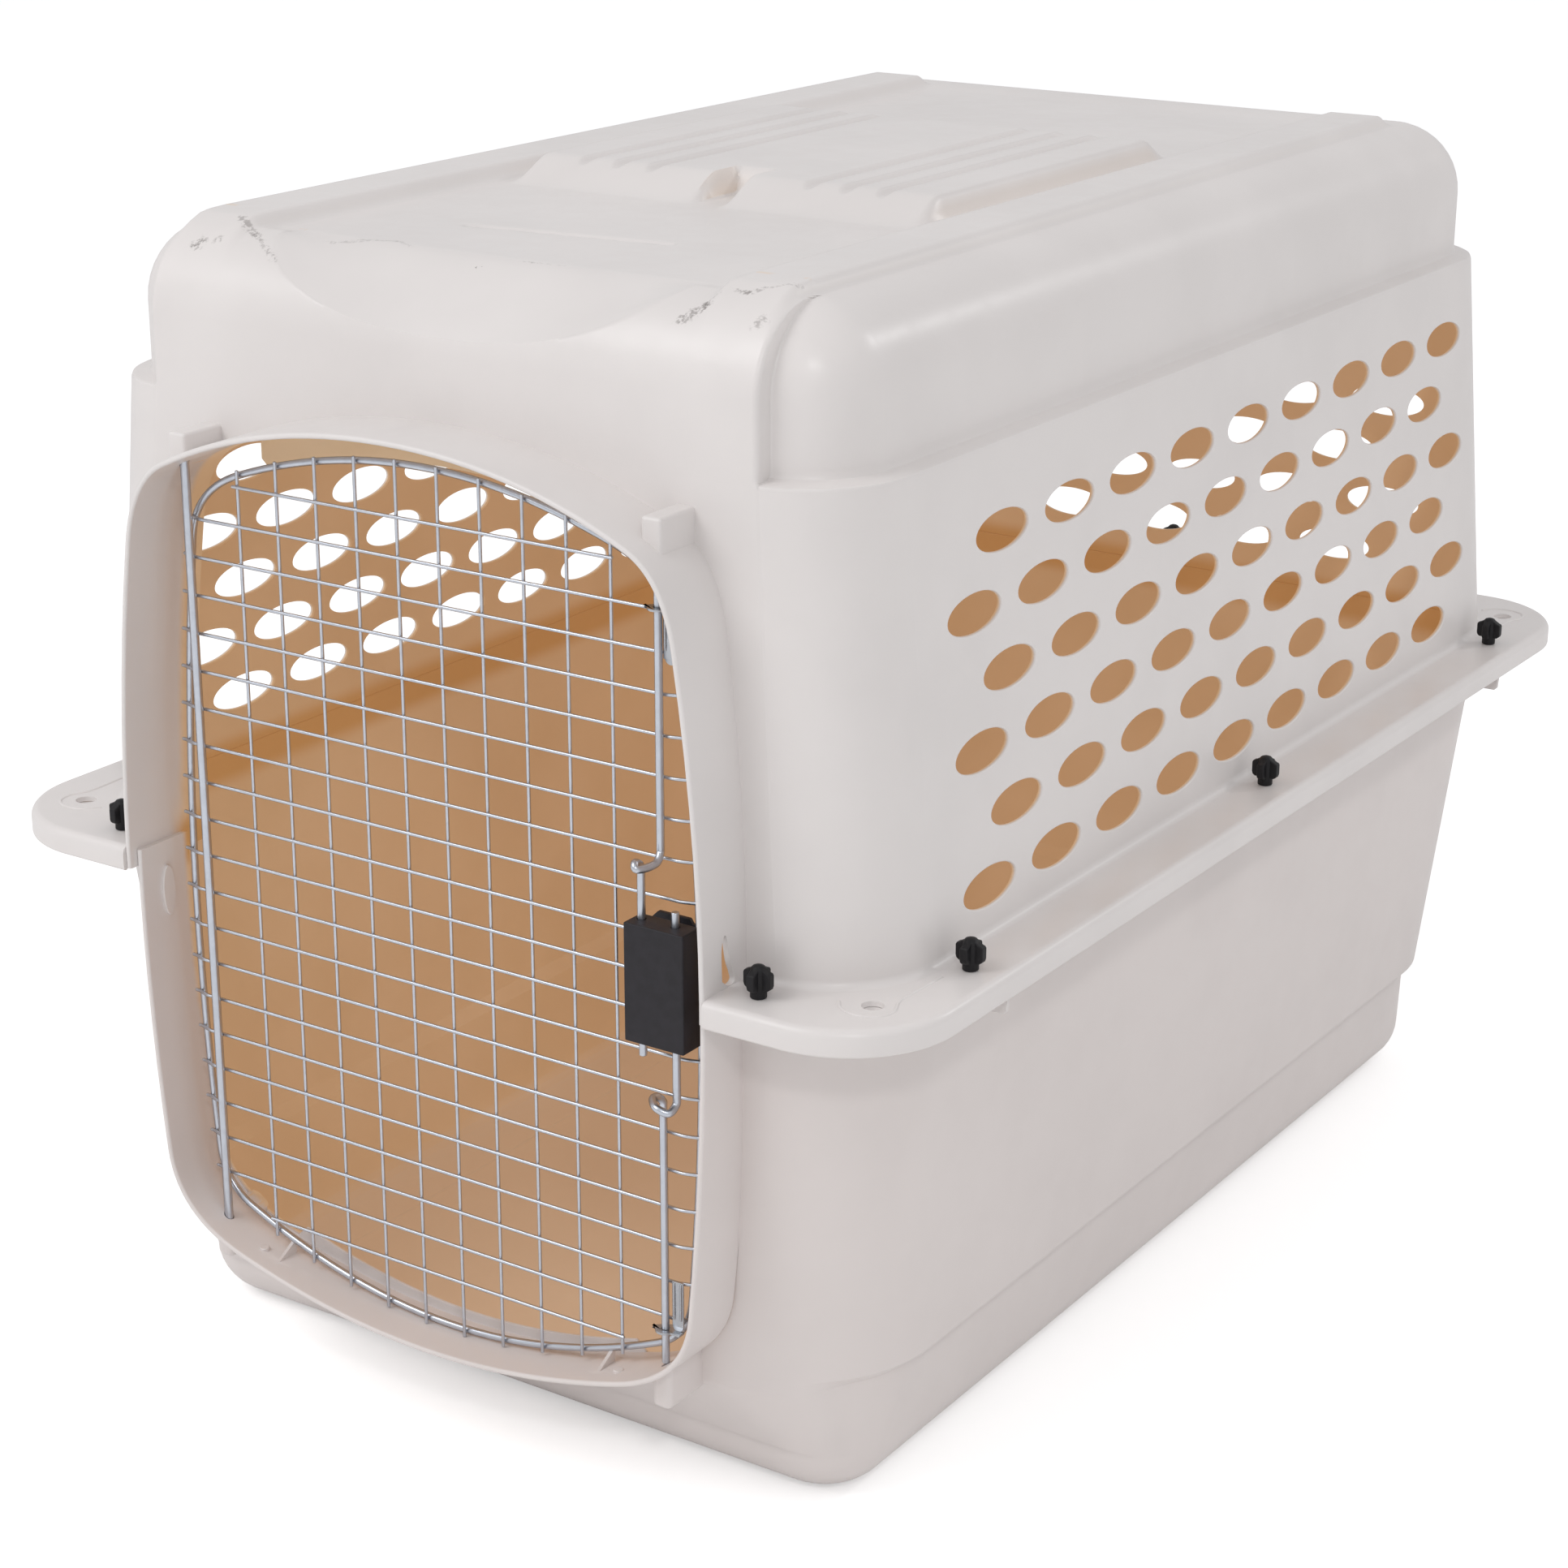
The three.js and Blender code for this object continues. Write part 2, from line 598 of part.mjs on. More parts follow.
// A latch rod's path: up the door's edge, a finger loop in front of it, then the tail in the case.
function latchRodPath(tip, bend, tailX, tailEnd) {
  const down = Math.sign(tailEnd - tip);
  const side = Math.sign(tailX - ROD.x);
  const at = (x, y, z) => new THREE.Vector3(x, y, z);
  const loop = new THREE.CatmullRomCurve3([
    at(ROD.x, ROD.y, bend),
    at(ROD.x - side * 1.5, ROD.y - 9, bend + down * 9),
    at((ROD.x + tailX) / 2, ROD.y - 19, bend + down * 10),
    at(tailX, TAIL.y - 6, bend + down * 9),
    at(tailX, TAIL.y, bend + down * 17),
  ]);
  return [
    at(ROD.x, ROD.y, tip),
    at(ROD.x, ROD.y, bend - down * 4),
    ...loop.getPoints(9),
    at(tailX, TAIL.y, bend + down * 21),
    at(tailX, TAIL.y, tailEnd),
  ];
}

// The rods' tips stand just short of their sockets, which open through the duct's inner face.
const [socketMouthLow, socketMouthHigh] = heightsAt(ductInside, ROD.x);
const UPPER_TIP = socketMouthHigh - TIP_CLEARANCE;
const LOWER_TIP = socketMouthLow + TIP_CLEARANCE;

function latchRod(path, collarX, collarFoot) {
  const collar = bar(COLLAR.radius, collarX, TAIL.y, collarFoot, collarFoot + COLLAR.length, 8);
  return join([wireAlong(path, LATCH_ROD_RADIUS, 6), collar]);
}

// Each spring sits between the case and its rod's collar, and pushes the rod out of the case.
const SPRING_FOOT = CASE.bottom + CASE.wall + GAP; // lower end of the upper rod's spring
const SPRING_HEAD = CASE.top - CASE.wall - GAP; // upper end of the lower rod's spring

function upperLatchRod() {
  const path = latchRodPath(UPPER_TIP, LOOP_BEND.upper, TAIL.upperX, UPPER_TAIL_END);
  return latchRod(path, TAIL.upperX, SPRING_FOOT + SPRING.length + GAP);
}

function lowerLatchRod() {
  const path = latchRodPath(LOWER_TIP, LOOP_BEND.lower, TAIL.lowerX, LOWER_TAIL_END);
  return latchRod(path, TAIL.lowerX, SPRING_HEAD - SPRING.length - GAP - COLLAR.length);
}

function spring(x, bottom) {
  const steps = SPRING.turns * 6;
  const height = SPRING.length - 2 * SPRING.wire;
  const path = Array.from({ length: steps + 1 }, (_, i) => {
    const angle = (i / steps) * SPRING.turns * 2 * Math.PI;
    return new THREE.Vector3(
      x + SPRING.coil * Math.cos(angle),
      TAIL.y + SPRING.coil * Math.sin(angle),
      bottom + SPRING.wire + (i / steps) * height,
    );
  });
  return wireAlong(path, SPRING.wire, 4);
}

// ---------------------------------------------------------------- latch case

function screwPlaces() {
  return CLAMP_SCREW.zs.map((z) => [CLAMP_SCREW.x, z]);
}

// A round bar along Y, centred on [x, z].
function barAlongY(radius, [x, z], from, to, sides = 10) {
  const cylinder = new THREE.CylinderGeometry(radius, radius, to - from, sides);
  return toSolid(cylinder.translate(x, (from + to) / 2, z));
}

function latchCase() {
  const { x, halfX, bottom, top, front, back, wall } = CASE;
  const body = block([x - halfX, front, bottom], [x + halfX, back, top]);
  const hollow = block(
    [x - halfX + wall, front + wall, bottom + wall],
    [x + halfX - wall, back + PAST, top - wall],
  );
  const posts = screwPlaces().map((place) => barAlongY(SCREW_POST_RADIUS, place, front + 1, back));
  const screwHoles = screwPlaces().map((place) =>
    barAlongY(CLAMP_SCREW.radius + GAP, place, CLAMP_SCREW.tip - 1, back + PAST),
  );
  const tails = [TAIL.upperX, TAIL.lowerX].map((tailX) =>
    bar(LATCH_ROD_RADIUS + SOCKET.clearance, tailX, TAIL.y, bottom - PAST, top + PAST),
  );
  return cut(join([body.subtract(hollow), ...posts]), [...screwHoles, ...tails]);
}

function clampPlate() {
  const { x, halfX, bottom, top } = CASE;
  const { front, thickness } = CLAMP_PLATE;
  const plate = block([x - halfX, front, bottom], [x + halfX, front + thickness, top]);
  const holes = screwPlaces().map((place) =>
    barAlongY(CLAMP_SCREW.radius + GAP, place, front - PAST, front + thickness + PAST),
  );
  return cut(plate, holes);
}

function clampScrew(z) {
  const under = CLAMP_PLATE.front + CLAMP_PLATE.thickness + GAP;
  const place = [CLAMP_SCREW.x, z];
  const head = barAlongY(CLAMP_SCREW.head, place, under, under + CLAMP_SCREW.headLength, 12);
  return join([barAlongY(CLAMP_SCREW.radius, place, CLAMP_SCREW.tip, under + 1), head]);
}

function rodGuide({ eyeZ, tabZ }) {
  const { eye, hole, thickness, tabX, tabY } = GUIDE;
  const disc = bar(eye, ROD.x, ROD.y, eyeZ, eyeZ + thickness, 16);
  const arm = block([ROD.x, ROD.y - 3, eyeZ], [tabX[1], tabY[1], eyeZ + thickness]);
  const tab = block(
    [tabX[0], tabY[0], Math.min(eyeZ, tabZ[0])],
    [tabX[1], tabY[1], Math.max(eyeZ + thickness, tabZ[1])],
  );
  return join([disc, arm, tab]).subtract(bar(hole, ROD.x, ROD.y, eyeZ - PAST, eyeZ + PAST));
}

// ---------------------------------------------------------------- bolts and wing nuts

// Both are modelled about their own axis, with the flange's top face at height 0.
function flangeBolt() {
  const seat = LOWER_TOP - FLANGE.thickness - GAP - FLANGE.top;
  return turned(
    [
      [0, seat - BOLT.headHeight],
      [BOLT.headRadius, seat - BOLT.headHeight],
      [BOLT.headRadius, seat],
      [BOLT.radius, seat],
      [BOLT.radius, BOLT.rise],
      [0, BOLT.rise],
    ],
    8,
  );
}

function wingNut() {
  const { stem, bore, height, dome, wingSpan, wingWidth, wingFoot } = NUT;
  const body = turned(
    [
      [0, GAP],
      [stem, GAP],
      [stem, height - dome],
      [stem * 0.6, height - dome * 0.2],
      [0, height],
    ],
    8,
  );
  const wings = [
    block([-wingSpan / 2, -wingWidth / 2, wingFoot], [wingSpan / 2, wingWidth / 2, height - dome]),
    block([-wingWidth / 2, -wingSpan / 2, wingFoot], [wingWidth / 2, wingSpan / 2, height - dome]),
  ];
  return join([body, ...wings]).subtract(bar(bore, 0, 0, -PAST, BOLT.rise + 1));
}

// ---------------------------------------------------------------- assembly

function piece(name, solid, look) {
  const mesh = new THREE.Mesh(toGeometry(solid), new THREE.MeshStandardMaterial(look));
  mesh.name = name;
  return mesh;
}

const carrier = new THREE.Group();
carrier.add(piece("bottom_shell", lowerShell(), PLASTIC));
carrier.add(piece("top_shell", upperShell(), PLASTIC));

const door = new THREE.Group();
door.add(piece("door_frame_wire", doorFrameWire(), ZINC));
door.add(piece("door_grid", doorGrid(), ZINC));
door.add(piece("hinge_rod", bar(HINGE_ROD.radius, -ROD.x, ROD.y, HINGE_ROD.bottom, HINGE_ROD.top), ZINC));
door.add(piece("latch_rod_upper", upperLatchRod(), ZINC));
door.add(piece("latch_rod_lower", lowerLatchRod(), ZINC));
door.add(piece("rod_guide_upper", rodGuide(UPPER_GUIDE), ZINC));
door.add(piece("rod_guide_lower", rodGuide(LOWER_GUIDE), ZINC));
carrier.add(door);

const latch = new THREE.Group();
latch.add(piece("latch_case", latchCase(), BLACK));
latch.add(piece("latch_clamp_plate", clampPlate(), BLACK));
latch.add(piece("latch_screw_lower", clampScrew(CLAMP_SCREW.zs[0]), ZINC));
latch.add(piece("latch_screw_upper", clampScrew(CLAMP_SCREW.zs[1]), ZINC));
latch.add(piece("latch_spring_upper", spring(TAIL.upperX, SPRING_FOOT), ZINC));
latch.add(piece("latch_spring_lower", spring(TAIL.lowerX, SPRING_HEAD - SPRING.length), ZINC));
door.add(latch);

const bolt = flangeBolt();
const nut = wingNut();
boltPlaces.forEach(({ name, x, y }) => {
  const fastener = new THREE.Group();
  fastener.position.set(x, y, FLANGE.top);
  fastener.add(piece(`flange_bolt_${name}`, bolt, ZINC));
  fastener.add(piece(`wing_nut_${name}`, nut, BLACK));
  carrier.add(fastener);
});

export default carrier;
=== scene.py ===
# Looks of a pet transport carrier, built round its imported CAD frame: two moulded shells with rounded
# edges, soft roof mouldings and flared vents, a welded wire door, spring latches and wing nuts.
# Shapes are worked out in millimetres in the frame's axes (+Z up, the door faces -Y).
import math

import bmesh
import bpy
import numpy as np
from mathutils import Matrix, Vector
from mathutils.bvhtree import BVHTree

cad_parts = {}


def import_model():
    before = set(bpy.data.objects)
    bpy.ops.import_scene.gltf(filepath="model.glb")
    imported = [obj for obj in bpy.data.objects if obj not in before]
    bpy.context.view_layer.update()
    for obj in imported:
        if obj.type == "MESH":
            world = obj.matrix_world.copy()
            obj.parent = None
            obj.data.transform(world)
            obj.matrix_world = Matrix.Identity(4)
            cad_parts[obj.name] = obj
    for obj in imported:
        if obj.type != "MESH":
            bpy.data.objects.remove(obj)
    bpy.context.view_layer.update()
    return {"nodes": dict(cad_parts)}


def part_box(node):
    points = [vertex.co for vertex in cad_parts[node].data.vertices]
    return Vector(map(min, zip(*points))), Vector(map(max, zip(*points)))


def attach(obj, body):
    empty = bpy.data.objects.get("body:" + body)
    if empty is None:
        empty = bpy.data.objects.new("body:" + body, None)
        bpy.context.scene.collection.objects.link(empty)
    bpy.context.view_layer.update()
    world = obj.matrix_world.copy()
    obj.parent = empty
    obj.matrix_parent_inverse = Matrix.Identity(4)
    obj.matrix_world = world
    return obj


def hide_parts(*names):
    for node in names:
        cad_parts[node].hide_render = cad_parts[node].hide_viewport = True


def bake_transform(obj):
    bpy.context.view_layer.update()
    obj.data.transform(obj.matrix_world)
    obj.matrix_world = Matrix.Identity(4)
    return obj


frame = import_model()

MM = 0.001


def box_mm(node):
    """Lowest and highest corner of a CAD node, in millimetres."""
    low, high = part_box(node)
    return np.array(low) / MM, np.array(high) / MM


# ---------------------------------------------------------------- driving dimensions

TOP_LOW, TOP_HIGH = box_mm("top_shell")
TUB_HIGH = box_mm("bottom_shell")[1]

WALL = 3.0
FLANGE_TOP = 361.0
LIP_FOOT = TOP_LOW[2]
LOWER_TOP = TUB_HIGH[2]
SPLIT = LOWER_TOP + 0.3
PLATE = FLANGE_TOP - SPLIT

# Outlines of the body at a height: half width, half length and corner radius.
FLANGE = (TOP_HIGH[0], TOP_HIGH[1], 71.0)
WAIST = (303.7, 463.0, 70.0)
EAVES = (278.6, 453.9, 64.0)
LEDGE = (284.0, 453.0, 95.0)
BASE = (268.0, 424.0, 46.0)
FLOOR_PANEL = (268.0, 424.0, 90.0)
EAVES_Z = 646.0
LEDGE_Z = 93.0
BASE_EDGE = 35.0

# Roof.
DECK = 741.0
SHOULDER_INSET = 13.0
SHOULDER_Z = 691.0
SHOULDER_ROLL = DECK - SHOULDER_Z
DECK_INSET = EAVES[2]
DECK_X = EAVES[0] - DECK_INSET
DECK_Y = EAVES[1] - DECK_INSET
HOOD_EDGE = 222.6
BEAD = 4.0
CREASE_FILLET = 1.5
SMILE_X = 151.0
SMILE_Z = 701.0
RECESS = 2.5
PANEL_RISE = TOP_HIGH[2] - DECK + RECESS
RAIL_RISE = 7.0
GROOVES = [sign * x for sign in (-1, 1) for x in (61.0, 88.0, 115.0)]
GROOVE_HALF = 5.5
GROOVE_DEPTH = 4.0

# Vents: rows of ellipses in the upper walls. Even and odd rows differ in their columns and middle.
VENT_X, VENT_Z = 30.0, 11.6
VENT_ROWS = 6
RIGHT_VENTS = dict(top=594.0, step=40.9, pitch=80.0, kinds=((9, 30.0), (9, -6.0)))
LEFT_VENTS = dict(top=599.4, step=40.4, pitch=77.4, kinds=((10, 1.0), (9, 0.0)))
REAR_VENTS = dict(top=598.4, step=40.4, pitch=79.0, kinds=((6, 0.0), (5, 0.0)))

# The doorway's arch and the door's frame wire, given for the right half as [x, z].
DOORWAY = dict(foot=66.0, foot_end=(150.0, 88.5), side_low=(208.5, 152.0), bow=(236.5, 360.0),
               side_high=(204.5, 560.0), crown_end=(172.0, 614.5), crown_bend=95.0, crown=651.5)
DOOR_FRAME = dict(foot=75.0, foot_end=(163.0, 112.0), side_low=(188.0, 148.0), bow=(207.0, 355.0),
                  side_high=(181.0, 560.0), crown_end=(140.0, 604.1), crown_bend=70.0, crown=629.0)
LOWER_DOORWAY = dict(DOORWAY, foot=68.0, foot_end=(150.0, 90.5), side_low=(208.0, 152.0), bow=(229.5, 360.0))
DUCT_FRONT, DUCT_BACK, DUCT_WALL = -506.0, -440.0, 3.6
DUCT_SPLIT = LIP_FOOT + 1.0
SILL_Y, SILL_HALF = -452.0, 140.0
HEAD_DROP = 25.0
LOWER_DUCT_FRONT = -500.0
FAR_FRONT, HIGH = DUCT_FRONT - 60, 800.0  # well in front of everything, and above it

# Wires, rods and latch.
FRAME_WIRE_Y = (box_mm("door_frame_wire")[0][1] + box_mm("door_frame_wire")[1][1]) / 2
FRAME_WIRE_R = 2.25
GRID_R = 1.1
UPRIGHTS, UPRIGHT_PITCH, UPRIGHT_Y = 10, 30.8, -474.7
CROSSBARS, CROSSBAR_PITCH, CROSSBAR_FIRST, CROSSBAR_Y = 21, 24.35, 111.0, -476.5
SHORT_HALF = 141.0
HINGE_LOW, HINGE_HIGH = box_mm("hinge_rod")
ROD_X = -(HINGE_LOW[0] + HINGE_HIGH[0]) / 2
ROD_Y = (HINGE_LOW[1] + HINGE_HIGH[1]) / 2
HINGE_R = (HINGE_HIGH[0] - HINGE_LOW[0]) / 2
LATCH_R = 2.4
CASE_LOW, CASE_HIGH = box_mm("latch_case")
UPPER_BEND, LOWER_BEND = 437.0, 273.0
TAIL_Y, UPPER_TAIL_X, LOWER_TAIL_X = -490.0, 168.0, 191.5
CASE_WALL = 1.6
SCREW_X, SCREW_ZS, SCREW_HOLE_R = 179.7, (342.0, 366.0), 1.8
SOCKET_FRONT, SOCKET_BACK = -487.0, -448.0
GUIDE_THICK, GUIDE_EYE_R, GUIDE_BORE_R = 1.5, 6.2, 3.0
GUIDE_FRONT, GUIDE_BACK = -479.3, -478.0
SPRING_WIRE_R, SPRING_COIL_R, SPRING_TURNS = 0.45, 3.4, 7.0
BOLT_HOLE_R, TIE_DOWN_R = 3.5, 6.5

BOLT_PLACES = {}
for side, sign in (("left", -1), ("right", 1)):
    for where, y in (("front", -383.0), ("middle", 0.0), ("rear", 383.0)):
        BOLT_PLACES[f"{side}_{where}"] = (sign * 322.0, y)
    BOLT_PLACES[f"door_{side}"] = (sign * 244.0, -484.0)
    BOLT_PLACES[f"back_{side}"] = (sign * 180.0, 492.0)
BOLT_PLACES["back_middle"] = (0.0, 492.0)
TIE_DOWN = (303.0, 457.5)
CORNERS = [(sx, sy) for sx in (-1, 1) for sy in (-1, 1)]


# ---------------------------------------------------------------- meshes

def smooth_step(value, start, end):
    """0 at start, 1 at end, with soft ends."""
    t = np.clip((np.asarray(value, float) - start) / (end - start), 0, 1)
    return t * t * (3 - 2 * t)


def configure(made, **settings):
    for key, value in settings.items():
        setattr(made, key, value)
    return made


def link(name, data):
    """An object of the scene that shows data."""
    made = bpy.data.objects.new(name, data)
    bpy.context.scene.collection.objects.link(made)
    return made


def angles(stop, step, start=0):
    """Angles in radians from start to stop degrees, both included."""
    return [math.radians(degrees) for degrees in range(start, stop + 1, step)]


def full_turn(sides):
    """Angles of evenly spaced points once round a circle."""
    return np.arange(sides) * 2 * np.pi / sides


def new_object(name, points, faces):
    """A mesh object from points in millimetres; doubled points are merged and faces turned outwards."""
    mesh = bpy.data.meshes.new(name)
    mesh.from_pydata((np.asarray(points, float) * MM).tolist(), [], faces)
    work = bmesh.new()
    work.from_mesh(mesh)
    bmesh.ops.remove_doubles(work, verts=work.verts, dist=1e-6)
    bmesh.ops.recalc_face_normals(work, faces=work.faces)
    work.to_mesh(mesh)
    work.free()
    return link(name, mesh)


def apply_modifiers(obj):
    depsgraph = bpy.context.evaluated_depsgraph_get()
    mesh = bpy.data.meshes.new_from_object(obj.evaluated_get(depsgraph))
    old = obj.data
    obj.modifiers.clear()
    obj.data = mesh
    bpy.data.meshes.remove(old)
    return obj


def boolean(body, tools, operation):
    for tool in tools:
        modifier = body.modifiers.new("boolean", "BOOLEAN")
        configure(modifier, operation=operation, solver="MANIFOLD", object=tool)
        apply_modifiers(body)
        bpy.data.objects.remove(tool)
    return body


def cut(body, *tools):
    return boolean(body, tools, "DIFFERENCE")


def join(body, *others):
    return boolean(body, others, "UNION")


def keep(body, space):
    """The part of a body inside a space."""
    return boolean(body, [space], "INTERSECT")


def gather(name, objects):
    """One object from several that don't touch, or whose overlaps don't matter."""
    work = bmesh.new()
    for obj in objects:
        work.from_mesh(obj.data)
        bpy.data.objects.remove(obj)
    mesh = bpy.data.meshes.new(name)
    work.to_mesh(mesh)
    work.free()
    return link(name, mesh)


def bevel(obj, width, segments=3, angle=35):
    configure(obj.modifiers.new("bevel", "BEVEL"), width=width * MM, segments=segments, limit_method="ANGLE",
              angle_limit=math.radians(angle))
    return apply_modifiers(obj)


def shade(obj, angle=40):
    """Smooth shading with sharp edges above an angle, weighted so that flat faces stay flat."""
    work = bmesh.new()
    work.from_mesh(obj.data)
    for face in work.faces:
        face.smooth = True
    limit = math.radians(angle)
    for edge in work.edges:
        edge.smooth = len(edge.link_faces) == 2 and edge.calc_face_angle(0) < limit
    work.to_mesh(obj.data)
    work.free()
    configure(obj.modifiers.new("normals", "WEIGHTED_NORMAL"), keep_sharp=True, mode="FACE_AREA")
    return obj


def ring_faces(rings, count):
    """Quads between successive rings of count points; the rings close on themselves."""
    faces = []
    for start in range(0, (rings - 1) * count, count):
        for i in range(count):
            j = (i + 1) % count
            faces.append((start + i, start + j, start + count + j, start + count + i))
    return faces


def open_skin(rings, grids=()):
    """Points and faces of a skin through rings, open at its ends, and of grids of rows by columns."""
    count = len(rings[0])
    points, faces = list(rings), ring_faces(len(rings), count)
    first = len(rings) * count
    for grid in grids:
        rows, columns, _ = grid.shape
        corners = [first + j * columns + i for j in range(rows - 1) for i in range(columns - 1)]
        faces += [(a, a + 1, a + 1 + columns, a + columns) for a in corners]
        points.append(grid.reshape(-1, 3))
        first += rows * columns
    return np.concatenate(points), faces


def loft(name, rings):
    """A closed skin through rings of equally many points, with a flat cap at each end."""
    points, faces = open_skin(rings)
    count = len(rings[0])
    caps = [tuple(range(count - 1, -1, -1)), tuple(range(len(points) - count, len(points)))]
    return new_object(name, points, faces + caps)


def block(name, low, high, rounding=0.0, segments=3):
    low, high = np.array(low, float), np.array(high, float)
    ring = [(low[0], low[1]), (high[0], low[1]), (high[0], high[1]), (low[0], high[1])]
    made = loft(name, [np.array([(x, y, z) for x, y in ring]) for z in (low[2], high[2])])
    return bevel(made, rounding, segments) if rounding else made


def turned(name, profile, place, axis="z", sides=24):
    """A solid of revolution from (radius, height) points, round an axis through a place."""
    turn = full_turn(sides)
    rings = []
    for radius, height in profile:
        a, b = radius * np.cos(turn), radius * np.sin(turn)
        h = np.full(sides, float(height))
        ring = np.stack([a, b, h] if axis == "z" else [a, h, -b], 1)
        rings.append(ring + np.array(place, float))
    return loft(name, rings)


def wire(name, path, radius, sides=12, closed=False, across=(0, 1, 0)):
    """A round wire along a path of points. Open ends are slightly domed."""
    path = np.asarray(path, float)
    if closed:
        along = np.roll(path, -1, 0) - np.roll(path, 1, 0)
    else:
        along = np.gradient(path, axis=0)
    along /= np.linalg.norm(along, axis=1)[:, None]
    side = np.array(across, float)
    turn = full_turn(sides)
    frames = []
    for direction in along:
        side = side - direction * side.dot(direction)
        side /= np.linalg.norm(side)
        frames.append((side, np.cross(direction, side)))

    def ring(i, scale=1.0, shift=0.0):
        a, b = frames[i]
        centre = path[i] + along[i] * shift
        spokes = np.outer(np.cos(turn), a) + np.outer(np.sin(turn), b)
        return centre + radius * scale * spokes

    if closed:
        return new_object(name, *open_skin([ring(i) for i in range(len(path))] + [ring(0)]))
    dome = 0.35 * radius
    start = [ring(0, 0.6, -dome), ring(0, 0.9, -dome * 0.6)]
    end = [ring(-1, 0.9, dome * 0.6), ring(-1, 0.6, dome)]
    return loft(name, start + [ring(i) for i in range(len(path))] + end)


def smooth_path(points, steps):
    """A Catmull-Rom curve through points."""
    points = np.asarray(points, float)
    padded = np.concatenate([[2 * points[0] - points[1]], points, [2 * points[-1] - points[-2]]])
    made = []
    for i in range(1, len(padded) - 2):
        p0, p1, p2, p3 = padded[i - 1:i + 3]
        for t in np.arange(steps) / steps:
            made.append(0.5 * (2 * p1 + (p2 - p0) * t + (2 * p0 - 5 * p1 + 4 * p2 - p3) * t ** 2
                               + (3 * p1 - p0 - 3 * p2 + p3) * t ** 3))
    made.append(points[-1])
    return np.array(made)


# ---------------------------------------------------------------- the arch

def arch_outline(arch, steps=14):
    """Closed [x, z] outline of an arch, anticlockwise from the middle of its foot."""
    def corner(point, slope, side):
        (x, z), (side_x, side_z), (bow_x, bow_z) = point, side, arch["bow"]
        lean = (bow_x - side_x) / (bow_z - side_z)
        height = (z + slope * (side_x - lean * side_z - x)) / (1 - slope * lean)
        return side_x + lean * (height - side_z), height

    foot_end, crown_end = arch["foot_end"], arch["crown_end"]
    foot_slope = 2 * (foot_end[1] - arch["foot"]) / foot_end[0]
    crown_bend = (arch["crown_bend"], arch["crown"])
    crown_slope = (crown_end[1] - crown_bend[1]) / (crown_end[0] - crown_bend[0])
    curves = [
        ((0, arch["foot"]), (foot_end[0] / 2, arch["foot"]), foot_end),
        (foot_end, corner(foot_end, foot_slope, arch["side_low"]), arch["side_low"]),
        (arch["side_low"], arch["bow"], arch["side_high"]),
        (arch["side_high"], corner(crown_end, crown_slope, arch["side_high"]), crown_end),
        (crown_end, crown_bend, (0, arch["crown"])),
    ]
    right = [np.array(curves[0][0], float)]
    for start, control, end in curves:
        for t in np.arange(1, steps + 1) / steps:
            right.append(np.array(start) * (1 - t) ** 2 + 2 * np.array(control) * t * (1 - t)
                         + np.array(end) * t ** 2)
    left = [point * (-1, 1) for point in right[-2:0:-1]]
    return np.array(right + left)


def offset(outline, distance):
    """A closed [x, z] outline moved outwards."""
    along = np.roll(outline, -1, 0) - np.roll(outline, 1, 0)
    along /= np.linalg.norm(along, axis=1)[:, None]
    return outline + distance * np.stack([along[:, 1], -along[:, 0]], 1)


def crossings(outline, value, axis):
    """Where a closed outline crosses a line, as coordinates along the other axis, in order."""
    after = np.roll(outline, -1, 0)
    span = after[:, axis] - outline[:, axis]
    span[span == 0] = 1e-9
    share = (value - outline[:, axis]) / span
    hit = (share >= 0) & (share <= 1)
    other = 1 - axis
    return np.sort(outline[hit, other] + share[hit] * (after[hit, other] - outline[hit, other]))


doorway = arch_outline(DOORWAY)
lower_doorway = arch_outline(LOWER_DOORWAY)
door_outline = arch_outline(DOOR_FRAME)


def upright(outline, y):
    """An [x, z] outline as points in space."""
    return np.insert(outline, 1, y, axis=1)


def prism(name, outline, start, end):
    """An [x, z] outline extruded along Y."""
    return loft(name, [upright(outline, y) for y in (start, end)])


def duct(arch, front, back):
    """The duct's wall, swept round an arch, with a rounded front lip."""
    r = DUCT_WALL / 2
    steps = list(np.linspace(back, front + r, 7))
    profile = [(0, y) for y in steps]
    profile += [(-r + r * math.cos(a), front + r - r * math.sin(a)) for a in angles(150, 30, 30)]
    profile += [(-2 * r, y) for y in steps[::-1]]
    rings = [upright(offset(arch, out), y) for out, y in profile + profile[:1]]
    return new_object("duct", *open_skin(rings))


# ---------------------------------------------------------------- stations round the shells

def mirrored(values):
    return sorted(set([-v for v in values] + list(values)))


def deck_columns():
    """Distances from the middle at which the roof is sampled across, dense at its mouldings."""
    values = [0, 5, 8.5, 10.5, 12.5, 15, 18, 24, 32, 42, 52, 74.5, 101.5, 126, 134, 141, 146, 149, 151,
              153, 155, 157, 159, 161, 164, 167, 169.5, 171.5, 173.5, 175.5, 177.5, 180, 186, 194, 202,
              208, 212, DECK_X]
    for groove in GROOVES:
        values += [abs(groove) + step for step in (-6.2, -4.5, -3, -1.5, 0, 1.5, 3, 4.5, 6.2)]
    return np.array(mirrored(values))


def deck_rows():
    """The same from front to back."""
    front = list(np.arange(-384, -332, 7)) + list(np.arange(-330, -296, 1.7))
    slope = list(np.arange(-290, -200, 10)) + list(np.arange(-196, -117, 2.6))
    middle = list(np.arange(-110, 105, 12)) + list(np.arange(108, 162, 3))
    rear = list(np.arange(170, 355, 12)) + list(np.arange(360, 384, 2))
    return np.array([-DECK_Y] + front + slope + middle + rear + [DECK_Y])


